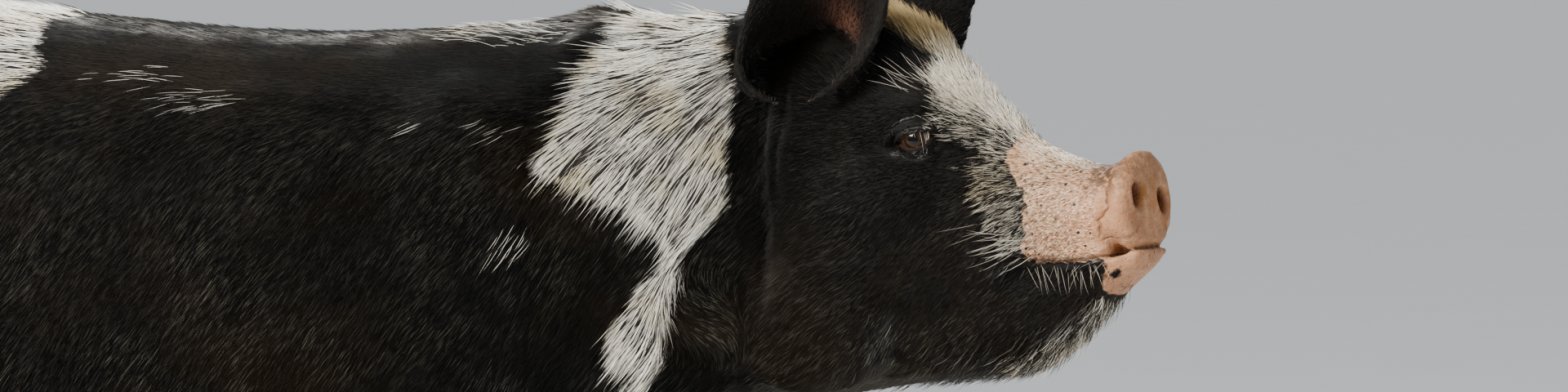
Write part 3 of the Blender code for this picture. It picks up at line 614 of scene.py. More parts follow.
coatMake = dict(
    shortBody=0.011, addedOnBack=0.002, shortFace=0.0055, addedAtPoll=0.0045, shortLid=0.0028,
    shortMuzzle=0.0036, shortThigh=0.009, shortLeg=0.0065, shortEar=0.0050,
    longBelt=0.028, longBlaze=0.012, longRing=0.0085, longPoll=0.019, longChin=0.016, longTuft=0.022,
    longThigh=0.013, longSock=0.009, stray=0.020, lash=0.016, whisker=0.030, lip=0.020,
    swirl=(0.411, -0.125, 0.511), swirlTurn=1.9, swirlReach=0.055,
    tuft=(0.452, 0.540), tuftHalf=(0.020, 0.022),  # along the body and up
)
whiskerSpots = ((0.172, 0.053, 0.584), (0.186, 0.047, 0.573), (0.208, 0.046, 0.572), (0.120, 0.050, 0.530))
groupPlaces = dict(  # thin groups of white hairs in the black: x, height, half length, half height
    flankUpper=(-0.040, 0.695, 0.045, 0.008), flankLower=(0.012, 0.676, 0.040, 0.009),
    shoulderUpper=(0.181, 0.658, 0.018, 0.008), shoulderFore=(0.247, 0.660, 0.020, 0.009),
    shoulderLow=(0.266, 0.572, 0.022, 0.016), backStrip=(0.245, 0.728, 0.062, 0.012),
)


def tangent(vectors, normal):
    flat = vectors - normal * np.sum(vectors * normal, axis=1)[:, None]
    return flat / np.linalg.norm(flat, axis=1).clip(1e-6)[:, None]


def lieOfCoat(places, head, normal):
    x, y, z = places.T
    a, b, c = head.T
    down = 0.10 + 1.25 * ease(-z, -0.735, -0.58) - 0.35 * ease(-z, -0.46, -0.36)
    down = down + 1.1 * ease(x, 0.385, 0.432) * bump(z, 0.645, 0.040)
    down = down - 0.5 * bump(x, 0.425, 0.018) * bump(z, 0.585, 0.018)
    down = down + 0.20 * ripple(places, 0.10, 11) + 0.55 * bump(x, 0.385, 0.060) * ease(z, 0.56, 0.64)
    body = rows(-1.0, 0.0, -down)
    sink = 0.25 + 0.55 * ease(-c, -0.66, -0.56) - 0.9 * ease(c, 0.665, 0.70)
    face = fromHead(rows(-1.0, 0.25 * np.sign(b) * ease(c, 0.64, 0.68), -sink))
    blend = ease(a, -0.06, 0.03)[:, None]
    blended = body * (1 - blend) + face * blend
    lie = layered(body, (discSkin[:, None], face), (ownedBy("head", "lower_jaw")[:, None], blended))
    fan = (bump(a, 0.090, 0.05) * ease(c, 0.680, 0.715) * headSkin)[:, None]
    lie = lie * (1 - fan) + fromHead(rows(-0.8, 5.0 * (b + 0.004), 0.5)) * fan
    side = np.sign(y - np.interp(x, [-1, 0.45, 0.77], [0, -0.03, -0.15]))
    lie = layered(
        lie,
        (legSkin[:, None], rows(-0.25, 0.12 * side, -1.0)),
        (earSkin[:, None], fromHead(rows(0.52, 0.34 * np.sign(b), 0.78))),
        (tailSkin[:, None], np.array([-0.4, 0.0, -1.0])),
    )
    gap = np.linalg.norm(places - np.array(coatMake["swirl"]), axis=1)
    turn = coatMake["swirlTurn"] * (1 - ease(gap, 0.008, coatMake["swirlReach"]))
    lie = tangent(lie, normal)
    spun = lie * np.cos(turn)[:, None] + np.cross(normal, lie) * np.sin(turn)[:, None]
    return tangent(spun, normal)


coatLie = lieOfCoat(skinPlaces, skinHead, skinNormals)
lidAlong, lidAbove, _, eyeGap = np.where(b <= 0, lidPlace(skinHead, "right"), lidPlace(skinHead, "left"))
faceSkin = headSkin & (a > 0.03)
bare = ease(pink, -0.003, 0.003)

shortLong = layered(
    coatMake["shortBody"] + coatMake["addedOnBack"] * ease(z, 0.69, 0.735),
    (headSkin, coatMake["shortFace"] + coatMake["addedAtPoll"] * ease(-a, -0.12, -0.0)),
    (legSkin, coatMake["shortThigh"]),
    (lowerLegSkin, coatMake["shortLeg"]),
    (earSkin, coatMake["shortEar"]),
    (headSkin & (eyeGap < 0.010), coatMake["shortLid"]),
)
shortLong = shortLong + (coatMake["shortMuzzle"] - shortLong) * bare * headSkin
shortThick = 1.0 - 0.96 * (ease(white, -0.004, 0.012) * ~faceSkin * ~legSkin)
shortThick *= 1.0 - bare * (0.15 + 0.83 * ease(a, 0.215, 0.255))
shortThick *= np.where(headSkin, ease(eyeGap, 0.0012, 0.004), 1.0)
shortThick *= np.where(discSkin, 0.02, 1.0)

tuft = bump(x, coatMake["tuft"][0], coatMake["tuftHalf"][0])
tuft = tuft * bump(z, coatMake["tuft"][1], coatMake["tuftHalf"][1]) * (y < -0.05)
longLong = layered(
    np.where(white > -0.01, coatMake["longBelt"], 0.0),
    (faceSkin, coatMake["longBlaze"]),
    (faceSkin & (a > 0.145) & (c < 0.652), coatMake["longRing"]),
    (faceSkin & (c > 0.712), coatMake["longPoll"]),
    (ownedBy("lower_jaw") & (white < 0), coatMake["longChin"]),
    (legSkin, coatMake["longThigh"]),
    (lowerLegSkin, coatMake["longSock"]),
    ((tuft > 0.05) & (white < -0.01), coatMake["longTuft"]),
)
locks = 0.20 + 1.6 * ease(ripple(skinPlaces, 0.011, 22), -0.35, 0.45)
longThick = ease(white, -0.010, 0.004) * (0.85 + 0.35 * ripple(skinPlaces, 0.035, 12)).clip(0.15, 1.2)
longThick *= np.where(faceSkin | legSkin, 1.0, locks)
longThick *= np.where(faceSkin & (white < 0.003) & (pink > -0.05), 0.60, 1.0)
chin = chinSkin * ease(under, 0.2, 0.6) * ease(a, 0.10, 0.16) * 0.30
longThick = np.where(pink > -0.002, 0.0, np.maximum(longThick, chin))
longThick = np.maximum(longThick, 0.6 * tuft * ~headSkin)
longThick = longThick * np.where(headSkin, ease(eyeGap, 0.005, 0.013), 1.0) * ~earSkin

strayThick = np.zeros(len(skinPlaces))
for middleX, middleZ, halfX, halfZ in groupPlaces.values():
    radius = np.hypot((x - middleX) / halfX, (z - middleZ) / halfZ)
    group = (1 - ease(radius, 0.5, 1.1)) * (skinNormals[:, 1] < 0.1) * ~headSkin
    strayThick = np.maximum(strayThick, group)
strayThick = strayThick * ease(-white, -0.002, 0.008)
lashThick = headSkin * bump(eyeGap, 0.0008, 0.0009) * (lidAbove > 0.001) * ease(lidAlong, -0.003, 0.006)

whiskerThick = headSkin * bump(a, 0.107, 0.008) * bump(c, 0.692, 0.009) * bump(np.abs(b), 0.050, 0.02)
for spot in whiskerSpots:
    gap = np.linalg.norm(rows(a, np.abs(b), c) - spot, axis=1)
    whiskerThick = np.maximum(whiskerThick, headSkin * (1 - ease(gap, 0.004, 0.012)))
lipHair = ownedBy("lower_jaw", "head") * bump(c - mouthHeight(a), -0.004, 0.003) * ease(a, 0.195, 0.205)
lipHair = lipHair * (1 - ease(a, 0.262, 0.272))
whiskerThick = np.maximum(0.6 * whiskerThick, lipHair)
whiskerLong = np.where(lipHair > 0.1, coatMake["lip"], coatMake["whisker"])
hang = fromHead(rows(0.35, 0.25 * np.sign(b), -1.0))
sweepBack = fromHead(rows(-1.0, 0.5 * np.sign(b), -0.25 + 0.6 * (c > 0.66)))
lashLie = tangent(hang, skinNormals)
whiskerLie = tangent(np.where((lipHair > 0.1)[:, None], hang, sweepBack), skinNormals)
allWhite = 0.02
hairKinds = dict(  # its bristle, how thickly it grows, its length, its lie, its white mark
    short=("short", shortThick, shortLong, coatLie, white),
    long=("long", longThick, longLong, coatLie, white),
    curl=("curled", longThick, longLong, coatLie, white),
    stray=("curled", strayThick, coatMake["stray"], coatLie, allWhite),
    lash=("curled", lashThick, coatMake["lash"], lashLie, allWhite),
    whisker=("curled", whiskerThick, whiskerLong, whiskerLie, allWhite),
)
print("coat planned")


def setLayer(mesh, name, values, kind="FLOAT", key="value"):
    layer = mesh.attributes.new(name, kind, "POINT")
    layer.data.foreach_set(key, np.ascontiguousarray(values, dtype=np.float32).ravel())


# shader maths


def feed(tree, value, socket):  # a link where the value comes from a node
    value = getattr(value, "socket", value)
    if isinstance(value, bpy.types.NodeSocket):
        tree.links.new(value, socket)
    else:
        socket.default_value = (*value, 1.0) if socket.type == "RGBA" else value


def addNode(tree, kind, settings=None, values=None):
    made = tree.nodes.new(kind)
    for key, value in (settings or {}).items():
        setattr(made, key, value)
    for key, value in (values or {}).items():
        feed(tree, value, made.inputs[key])
    return made


class Wire:
    def __init__(self, finish, socket):
        self.finish = finish
        self.socket = socket

    def maths(self, operation, first, second):
        return self.finish.out("ShaderNodeMath", dict(operation=operation), {0: first, 1: second})

    def __add__(self, other):
        return self.maths("ADD", self, other)

    def __radd__(self, other):
        return self.maths("ADD", other, self)

    def __sub__(self, other):
        return self.maths("SUBTRACT", self, other)

    def __rsub__(self, other):
        return self.maths("SUBTRACT", other, self)

    def __mul__(self, other):
        return self.maths("MULTIPLY", self, other)

    def __rmul__(self, other):
        return self.maths("MULTIPLY", other, self)


class Finish:
    def __init__(self, name):
        self.material = bpy.data.materials.new(name)
        self.material.use_nodes = True
        self.tree = self.material.node_tree
        self.tree.nodes.clear()
        self.shader = self.tree.nodes.new("ShaderNodeBsdfPrincipled")
        self.end = self.tree.nodes.new("ShaderNodeOutputMaterial")
        self.tree.links.new(self.shader.outputs[0], self.end.inputs[0])

    def out(self, kind, settings=None, values=None, output=0):
        return Wire(self, addNode(self.tree, kind, settings, values).outputs[output])

    def read(self, name):
        return self.out("ShaderNodeAttribute", dict(attribute_name=name), output="Fac")

    def place(self):
        return self.out("ShaderNodeTexCoord", output="Object")

    def stretched(self, scale, turn=(0.0, 0.0, 0.0)):
        values = dict(Vector=self.place(), Scale=scale, Rotation=turn)
        return self.out("ShaderNodeMapping", None, values)

    def noise(self, scale, detail=3.0, roughness=0.55, vector=None):
        values = dict(Scale=scale, Detail=detail, Roughness=roughness, Vector=vector or self.place())
        return self.out("ShaderNodeTexNoise", None, values)

    def cells(self, scale, vector=None):
        return self.out("ShaderNodeTexVoronoi", None, dict(Scale=scale, Vector=vector or self.place()))

    def between(self, value, low, high):
        values = {"Value": value, "From Min": low, "From Max": high}
        return self.out("ShaderNodeMapRange", dict(interpolation_type="SMOOTHSTEP"), values)

    def mix(self, factor, first, second):
        made = addNode(self.tree, "ShaderNodeMix", dict(data_type="RGBA"))
        sockets = {one.identifier: one for one in made.inputs}
        for key, value in dict(Factor_Float=factor, A_Color=first, B_Color=second).items():
            feed(self.tree, value, sockets[key])
        return Wire(self, next(one for one in made.outputs if one.identifier == "Result_Color"))

    def relief(self, height, distance, strength):
        values = dict(Height=height, Distance=distance, Strength=strength)
        self.set(Normal=self.out("ShaderNodeBump", None, values))

    def set(self, **values):
        for key, value in values.items():
            feed(self.tree, value, self.shader.inputs[key.replace("_", " ")])


tones = dict(
    # the third tone here is a painted highlight: grey for bristles that stand in for glints on the black
    # hair
    black=(0.0078, 0.0083, 0.0082), brownBlack=(0.022, 0.0155, 0.0090), paintedGlint=(0.130, 0.125, 0.100),
    white=(0.80, 0.785, 0.73), cream=(0.68, 0.60, 0.42),
    ochre=(0.46, 0.34, 0.16), root=(0.16, 0.115, 0.085),
    blackSkin=(0.0062, 0.0060, 0.0060), brownSkin=(0.012, 0.0085, 0.0065),
    # skin under the white belt and blaze: partly its own tone, partly painted shade for the gaps between
    # the bristles
    underWhite=(0.024, 0.022, 0.020), underBlaze=(0.24, 0.18, 0.13),
    pink=(0.44, 0.245, 0.145), redPink=(0.33, 0.170, 0.095), palePink=(0.66, 0.49, 0.36),
    grime=(0.12, 0.080, 0.050), dirt=(0.060, 0.042, 0.027), speck=(0.022, 0.015, 0.012),
    stain=(0.30, 0.14, 0.040), nostril=(0.14, 0.045, 0.014), fold=(0.02, 0.012, 0.01),
    lid=(0.034, 0.015, 0.010), earPink=(0.13, 0.062, 0.042),
    iris=(0.034, 0.017, 0.007), irisDark=(0.010, 0.006, 0.003), pupil=(0.002, 0.002, 0.003),
    eyeRim=(0.045, 0.028, 0.020),
    horn=(0.20, 0.145, 0.095), hornPale=(0.34, 0.265, 0.185), hornRing=(0.11, 0.078, 0.055),
    floor=(0.84, 0.835, 0.82), floorPale=(0.88, 0.875, 0.86),
)


def skinFinish():
    made = Finish("livingSkin")
    white = made.between(made.read("white") + (made.noise(90.0) - 0.5) * 0.012, -0.004, 0.006)
    pink = made.between(made.read("pink") + (made.noise(140.0) - 0.5) * 0.004, -0.0012, 0.0010)
    coat = made.mix(made.noise(14.0), tones["blackSkin"], tones["brownSkin"])
    # the skin under the white belt and blaze is kept dark, partly its own tone and partly painted shade in
    # the gaps between the bristles
    coat = made.mix(white, coat, made.mix(made.read("face"), tones["underWhite"], tones["underBlaze"]))
    bare = made.mix(made.between(made.noise(38.0, 4.0), 0.35, 0.68), tones["pink"], tones["redPink"])
    muzzle = made.stretched((330.0, 700.0, 900.0), (0.0, math.radians(-25.0), 0.0))
    stubble = made.noise(1.0, 2.0, 0.6, muzzle)
    stubbled = made.read("speckled")
    specks = made.between(made.cells(150.0), 0.22, 0.16) * made.between(made.noise(90.0), 0.45, 0.50)
    pores = made.between(made.cells(420.0), 0.42, 0.16)
    for share, tone in (
        (made.between(stubble, 0.48, 0.68) * stubbled * 0.85, "palePink"),
        (made.between(stubble, 0.47, 0.32) * stubbled * 0.75, "grime"),
        (made.between(made.noise(160.0, 3.0), 0.52, 0.75) * 0.2, "palePink"),
        (made.read("grime") * made.between(made.noise(260.0, 4.0), 0.40, 0.50) * 0.9, "dirt"),
        (specks * stubbled, "speck"),
        (pores * 0.20, "grime"),
        # a real stain by the near nostril, with painted shade over the front of the disc
        (made.read("stain") * made.between(made.noise(130.0), 0.40, 0.62), "stain"),
        # the nostril openings are painted dark orange-brown: partly their own colour, partly painted shade
        # of the hole
        (made.read("nostril"), "nostril"),
    ):
        bare = made.mix(share, bare, tones[tone])
    colour = made.mix(pink, coat, bare)
    # the fold share paints shade into the mouth line, the creases behind the disc and one side of each
    # nostril
    for name, share in dict(lid=1.0, earPink=1.0, fold=0.75).items():
        colour = made.mix(made.read(name) * share, colour, tones[name])
    made.set(Base_Color=colour, Roughness=0.82 - pink * 0.40 + made.noise(120.0) * 0.08)
    flank = made.stretched((160.0, 420.0, 700.0), (0.0, math.radians(-38.0), 0.0))
    streaks = made.noise(1.0, 3.0, 0.6, flank)
    creases = made.cells(240.0, made.stretched((1.0, 1.0, 1.6)))
    height = streaks * (1 - pink) * 0.8 + (creases * 0.5 - pores * 0.35 + made.noise(90.0) * 0.8) * pink
    made.relief(height, 0.0009, 0.7)
    made.set(Specular_IOR_Level=0.30, Subsurface_Weight=0.12)
    made.set(Subsurface_Radius=(0.9, 0.35, 0.2), Subsurface_Scale=0.004)
    return made.material


def bristleFinish():
    made = Finish("bristles")
    chance = made.read("chance")
    white = made.between(made.read("white") + (chance - 0.5) * 0.010, -0.0015, 0.0015)
    white = white * made.between(chance, 0.02, 0.06)
    dark = made.mix(made.between(made.noise(7.0), 0.42, 0.70), tones["black"], tones["brownBlack"])
    height = made.out("ShaderNodeSeparateXYZ", None, dict(Vector=made.place()), output="Z")
    # painted highlight: a random share of the black bristles is painted paler grey as hair glints, with
    # fewer towards the top of the back
    glints = made.between(chance, 0.82, 0.92) * made.between(made.noise(13.0), 0.34, 0.62)
    dark = made.mix(glints * made.between(height, 0.71, 0.63), dark, tones["paintedGlint"])
    pale = made.mix(made.between(made.noise(24.0), 0.45, 0.72) * 0.7, tones["white"], tones["cream"])
    pale = made.mix(made.read("ochre"), pale, tones["ochre"])
    pale = made.mix(made.between(made.read("along"), 0.30, 0.0) * 0.35, pale, tones["root"])
    made.set(Base_Color=made.mix(white, dark, pale), Roughness=0.36 + white * 0.20)
    made.set(Specular_IOR_Level=0.45)
    return made.material


# marks that the finishes read

nostrilUp, nostrilOut = nostrilSpan(skinHead)
nostrilGap = np.hypot(nostrilUp, nostrilOut)
# painted shade: a dark crescent on one side of each nostril, carried by the fold mark
nostrilEdge = bump(nostrilOut * -np.sign(b), 0.80, 0.30) * (1 - ease(nostrilGap, 1.0, 1.15))
nostrilEdge = nostrilEdge * discSkin * (a > 0.27)
mouthLine = bump(c - mouthHeight(a), 0.0, 0.0011) * ease(a, 0.180, 0.190)
past, crease, slant = discCreases(skinHead)
# the patch by the near nostril is a real stain; the broad darkening over the front of the disc is painted
# shade
stain = most(
    bump(b, -0.011, 0.009) * bump(c, 0.610, 0.012),
    0.55 * ease(a, 0.272, 0.282) * ease(b, -0.026, -0.004),
)
skinMarks = dict(
    white=white,
    pink=pink,
    # nostril openings painted dark: partly their own colour, partly painted shade of the hole
    nostril=discSkin * (1 - ease(nostrilGap, 0.62, 1.0)),
    stain=discSkin * stain,
    lid=headSkin * (1 - ease(eyeGap, 0.0006, 0.0030)) * (a > 0.085) * 0.8,
    grime=headSkin * bump(a, 0.262, 0.020) * ease(c, 0.600, 0.626) * 0.95,
    speckled=(headSkin & ~discSkin) * ease(a, 0.18, 0.20) * (1 - ease(a, 0.255, 0.262)),
    # painted shade: dark lines along the mouth, in the creases behind the disc and on one side of each
    # nostril
    fold=headSkin * most(mouthLine, 0.65 * crease + 0.5 * slant, nostrilEdge),
    earPink=earSkin * bump(a, 0.046, 0.014) * bump(c, 0.736, 0.022) * (b < -0.01),
    face=most(headSkin * ease(a, 0.02, 0.05) * ease(white, 0.0025, 0.0050), 1.0 * legSkin),
    ochre=most(earRim, headSkin * (a > 0.01) * (0.28 + 0.67 * ease(c, 0.704, 0.724))),
)
for name, values in skinMarks.items():
    setLayer(skinMesh, name, values)

skinMesh.shade_smooth()
skin = addObject("skin", skinMesh)
skinMesh.materials.clear()
skinMesh.materials.append(skinFinish())
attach(skin, "root")
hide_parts(*fleshNodes)
print("skin done")

# coat

bristleShape = dict(
    foot=-0.06,  # the root starts this share of the length inside the skin
    short=(),  # rings above the root: share of the length, thickness, sweep sideways, rise
    long=((0.50, 0.84, 0.9, 1.0),),
    curled=((0.34, 0.90, 1.5, 2.6), (0.70, 0.66, 1.2, 3.2)),
)
coatInputs = {  # kind and first value of each input
    "Geometry": ("Geometry", None),
    "Bristle": ("Object", None),
    "Density": ("Float", 1000.0),
    "Width": ("Float", 0.0007),
    "Lift": ("Float", 0.2),
    "Stray": ("Float", 0.12),
    "Clump": ("Float", 0.4),
    "Patch": ("Float", 0.003),  # size of one bristle on the map
    "Seed": ("Int", 1),
    "Finish": ("Material", None),
}


def bristle(kind):
    ring = [(math.cos(t), math.sin(t)) for t in (math.pi / 2, math.pi * 7 / 6, math.pi * 11 / 6)]
    corners = [(bristleShape["foot"], y * 0.5, z * 0.5 - 0.1) for y, z in ring]
    faces = [(0, 1, 2)]
    for place, thick, sweep, rise in bristleShape[kind]:
        low = len(corners) - 3
        corners += [(place, y * 0.5 * thick + sweep, z * 0.5 * thick + rise) for y, z in ring]
        faces += [(low + k, low + k + 3, low + (k + 1) % 3 + 3) for k in range(3)]
        faces += [(low + k, low + (k + 1) % 3 + 3, low + (k + 1) % 3) for k in range(3)]
    first = len(corners) - 3
    corners.append((1.0, 0.0, 0.0))
    faces += [(first + k, len(corners) - 1, first + (k + 1) % 3) for k in range(3)]
    mesh = bpy.data.meshes.new(kind + "Bristle")
    mesh.from_pydata(corners, [], faces)
    made = bmesh.new()
    made.from_mesh(mesh)
    bmesh.ops.recalc_face_normals(made, faces=made.faces)
    made.to_mesh(mesh)
    made.free()
    setLayer(mesh, "along", [max(corner[0], 0.0) for corner in corners])
    tuftMap = mesh.uv_layers.new(name="tuftMap")
    for loop in mesh.loops:
        x, y, z = corners[loop.vertex_index]
        tuftMap.data[loop.index].uv = ((y + 0.25 * z) * 0.16 + 0.4, x / 1.1 + 0.08)
    return addObject(kind + "Bristle", mesh)


def coatTree():
    tree = bpy.data.node_groups.new("bristleCoat", "GeometryNodeTree")
    for name, (kind, value) in coatInputs.items():
        made = tree.interface.new_socket(name, in_out="INPUT", socket_type="NodeSocket" + kind)
        if value is not None:
            made.default_value = value
    tree.interface.new_socket("Geometry", in_out="OUTPUT", socket_type="NodeSocketGeometry")
    given = tree.nodes.new("NodeGroupInput").outputs
    end = tree.nodes.new("NodeGroupOutput")

    def node(kind, settings=None, values=None, output=0):
        return addNode(tree, kind, settings, values).outputs[output]

    def named(name, kind="FLOAT"):
        return node("GeometryNodeInputNamedAttribute", dict(data_type=kind), dict(Name=name))

    def stored(geometry, name, value, kind, domain):
        values = dict(Geometry=geometry, Name=name, Value=value)
        return node("GeometryNodeStoreNamedAttribute", dict(data_type=kind, domain=domain), values)

    def vector(operation, first, second):
        return node("ShaderNodeVectorMath", dict(operation=operation), {0: first, 1: second})

    def scaled(first, by):
        return node("ShaderNodeVectorMath", dict(operation="SCALE"), {"Vector": first, "Scale": by})

    def times(first, second):
        return node("ShaderNodeMath", dict(operation="MULTIPLY"), {0: first, 1: second})

    def chance(kind, low, high, offset):
        seed = node("ShaderNodeMath", dict(operation="ADD"), {0: given["Seed"], 1: offset})
        made = tree.nodes.new("FunctionNodeRandomValue")
        made.data_type = kind
        live = [one for one in made.inputs if one.enabled]
        live[0].default_value, live[1].default_value = low, high
        tree.links.new(seed, made.inputs["Seed"])
        return next(one for one in made.outputs if one.enabled)

    density = times(named("thick"), given["Density"])
    sowing = dict(Mesh=given["Geometry"], Density=density, Seed=given["Seed"])
    sown = addNode(tree, "GeometryNodeDistributePointsOnFaces", None, sowing)
    normal = sown.outputs["Normal"]
    wave = node("ShaderNodeTexNoise", None, dict(Scale=38.0, Detail=2.0), "Color")
    wave = scaled(vector("SUBTRACT", wave, (0.5, 0.5, 0.5)), given["Clump"])
    stray = scaled(chance("FLOAT_VECTOR", (-1.0, -1.0, -1.0), (1.0, 1.0, 1.0), 1), given["Stray"])
    lean = vector("ADD", named("lie", "FLOAT_VECTOR"), scaled(normal, given["Lift"]))
    lean = vector("ADD", vector("ADD", lean, wave), stray)
    axes = {"Primary Axis": lean, "Secondary Axis": normal}
    turn = node("FunctionNodeAxesToRotation", dict(primary_axis="X", secondary_axis="Z"), axes)
    length = times(named("long"), chance("FLOAT", 0.65, 1.25, 2))
    wide = times(given["Width"], chance("FLOAT", 0.75, 1.25, 3))
    size = node("ShaderNodeCombineXYZ", None, dict(X=length, Y=wide, Z=wide))
    original = dict(transform_space="ORIGINAL")
    shape = node("GeometryNodeObjectInfo", original, dict(Object=given["Bristle"]), "Geometry")
    points = stored(sown.outputs["Points"], "chance", chance("FLOAT", 0.0, 1.0, 4), "FLOAT", "POINT")
    planted = dict(Points=points, Instance=shape, Rotation=turn, Scale=size)
    grown = node("GeometryNodeInstanceOnPoints", None, planted)
    solid = node("GeometryNodeRealizeInstances", None, dict(Geometry=grown))
    spot = vector("SUBTRACT", named("tuftMap", "FLOAT_VECTOR"), (0.5, 0.5, 0.0))
    spot = vector("ADD", named("rootMap", "FLOAT_VECTOR"), scaled(spot, given["Patch"]))
    mapped = stored(solid, "OFBake", spot, "FLOAT2", "CORNER")
    done = node("GeometryNodeSetMaterial", None, dict(Geometry=mapped, Material=given["Finish"]))
    tree.links.new(done, end.inputs[0])
    return tree


growCoat = coatTree()
bristles = {kind: bristle(kind) for kind in ("short", "long", "curled")}
bristleMaterial = bristleFinish()
skinFaces = [tuple(face.vertices) for face in skinMesh.polygons]
faceFirst = np.array([face[0] for face in skinFaces])


def patchOf(name, picked, kind):
    chosen = [skinFaces[k] for k in np.flatnonzero(picked[faceFirst])]
    used = np.unique(np.array([corner for face in chosen for corner in face]))
    place = np.zeros(len(skinPlaces), dtype=np.int64)
    place[used] = np.arange(len(used))
    mesh = bpy.data.meshes.new(name)
    mesh.from_pydata(skinPlaces[used].tolist(), [], [[int(place[k]) for k in face] for face in chosen])
    thick, length, lie, mark = hairKinds[kind][1:]
    for key, values in dict(thick=thick, long=length, white=mark, ochre=skinMarks["ochre"]).items():
        setLayer(mesh, key, np.broadcast_to(values, len(skinPlaces))[used])
    setLayer(mesh, "lie", lie[used], "FLOAT_VECTOR", "vector")
    mesh.uv_layers.new(name="rootMap")
    made = addObject(name, mesh)
    bpy.context.view_layer.objects.active = made
    made.select_set(True)
    bpy.ops.object.mode_set(mode="EDIT")
    bpy.ops.mesh.select_all(action="SELECT")
    bpy.ops.uv.smart_project(angle_limit=math.radians(66.0), island_margin=0.008)
    bpy.ops.object.mode_set(mode="OBJECT")
    made.select_set(False)
    return made


def densityFor(mesh, triangles, single):  # bristles on a square metre where the thickness is 1
    thick = rowsOf(mesh.attributes["thick"].data, "value", 1)[:, 0]
    held = sum(face.area * thick[list(face.vertices)].mean() for face in mesh.polygons)
    return triangles / len(single.data.polygons) / max(held, 1e-6)


def coatPiece(name, picked, kind, thousands, width, lift, stray, clump, seed):
    patch = patchOf(name + "Patch", picked, kind)
    single = bristles[hairKinds[kind][0]]
    density = densityFor(patch.data, thousands * 1000, single)
    settings = {
        "Bristle": single, "Density": density, "Width": width, "Lift": lift,
        "Stray": stray, "Clump": clump, "Seed": seed, "Finish": bristleMaterial,
    }
    step = patch.modifiers.new("coat", "NODES")
    step.node_group = growCoat
    keys = {one.name: one.identifier for one in growCoat.interface.items_tree if one.in_out == "INPUT"}
    for key, value in settings.items():
        step[keys[key]] = value
    depsgraph = bpy.context.evaluated_depsgraph_get()
    shown = patch.evaluated_get(depsgraph)
    mesh = bpy.data.meshes.new_from_object(shown, preserve_all_data_layers=True, depsgraph=depsgraph)
    bpy.data.objects.remove(patch, do_unlink=True)
    spent = ("thick", "long", "lie", "rootMap", "tuftMap")
    for extra in [one.name for one in mesh.attributes if one.name in spent]:
        mesh.attributes.remove(mesh.attributes[extra])
    made = addObject(name, mesh)
    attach(made, "root")
    print(name, len(mesh.polygons), "faces", round(density), "to the square metre")


rightSide = y < np.interp(x, [-1.0, 0.40, 0.77], [0.0, -0.02, -0.155])
leftSide = ~rightSide
body = ~headSkin & ~earSkin & ~legSkin & ~tailSkin
faceArea = headSkin & (a > 0.02)
neckArea = (body | (headSkin & ~faceArea)) & (x > 0.27)
sideArea = body & ~neckArea & (x > -0.20)
rumpArea = body & ~neckArea & ~sideArea
rough = longThick > 0.002
roughBody = rough & ~faceArea & ~legSkin
foreSide = sideArea & rightSide & (x > 0.05)
midSide = sideArea & rightSide & (x <= 0.05)
coatPieces = dict(  # where, kind, thousands of triangles, width, lift, stray, clump, seed
    furFaceRight=(faceArea & rightSide, "short", 175, 0.00042, 0.14, 0.10, 0.25, 1),
    furFaceLeft=(faceArea & leftSide, "short", 75, 0.00060, 0.14, 0.10, 0.25, 14),
    furEars=(earSkin, "short", 60, 0.00050, 0.22, 0.18, 0.25, 2),
    furNeckRight=(neckArea & rightSide, "short", 185, 0.00048, 0.12, 0.09, 0.30, 3),
    furNeckLeft=(neckArea & leftSide, "short", 50, 0.00130, 0.14, 0.10, 0.35, 4),
    furShoulderRight=(foreSide, "short", 185, 0.00060, 0.12, 0.09, 0.30, 5),
    furFlankRight=(midSide, "short", 165, 0.00068, 0.12, 0.09, 0.30, 15),
    furSideLeft=(sideArea & leftSide, "short", 70, 0.00150, 0.14, 0.10, 0.35, 6),
    furRumpRight=(rumpArea & rightSide, "short", 100, 0.00125, 0.13, 0.10, 0.30, 7),
    furRumpLeft=(rumpArea & leftSide, "short", 60, 0.00165, 0.14, 0.10, 0.35, 8),
    furLegs=((legSkin & ~lowerLegSkin) | tailSkin, "short", 45, 0.00160, 0.12, 0.10, 0.20, 9),
    furFeet=(lowerLegSkin, "short", 50, 0.00085, 0.10, 0.08, 0.15, 19),
    bristlesRight=(roughBody & rightSide, "long", 56, 0.00058, 0.15, 0.13, 0.50, 10),
    bristlesLeft=(roughBody & leftSide, "long", 50, 0.00095, 0.18, 0.12, 0.45, 11),
    bristlesLegs=(rough & legSkin, "long", 14, 0.00090, 0.18, 0.12, 0.40, 12),
    bristlesFace=(rough & faceArea, "curl", 125, 0.00038, 0.30, 0.26, 0.55, 13),
    strays=(strayThick > 0.01, "stray", 4.0, 0.00030, 0.14, 0.14, 0.30, 18),
    lashes=(lashThick > 0.01, "lash", 0.45, 0.00024, 0.60, 0.09, 0.05, 16),
    whiskers=(whiskerThick > 0.01, "whisker", 2.6, 0.00027, 0.55, 0.40, 0.20, 17),
)
for name, made in coatPieces.items():
    coatPiece(name, *made)
for spare in bristles.values():
    bpy.data.objects.remove(spare, do_unlink=True)

# eyes

eyeShape = dict(
    radius=0.0129,
    cornea=0.0009,  # how far it stands out of the ball
    corneaEdge=(0.35, 0.75),  # angles off the way that the eye looks
    irisHalf=math.radians(34.0),
    pupilHalf=math.radians(14.0),
)


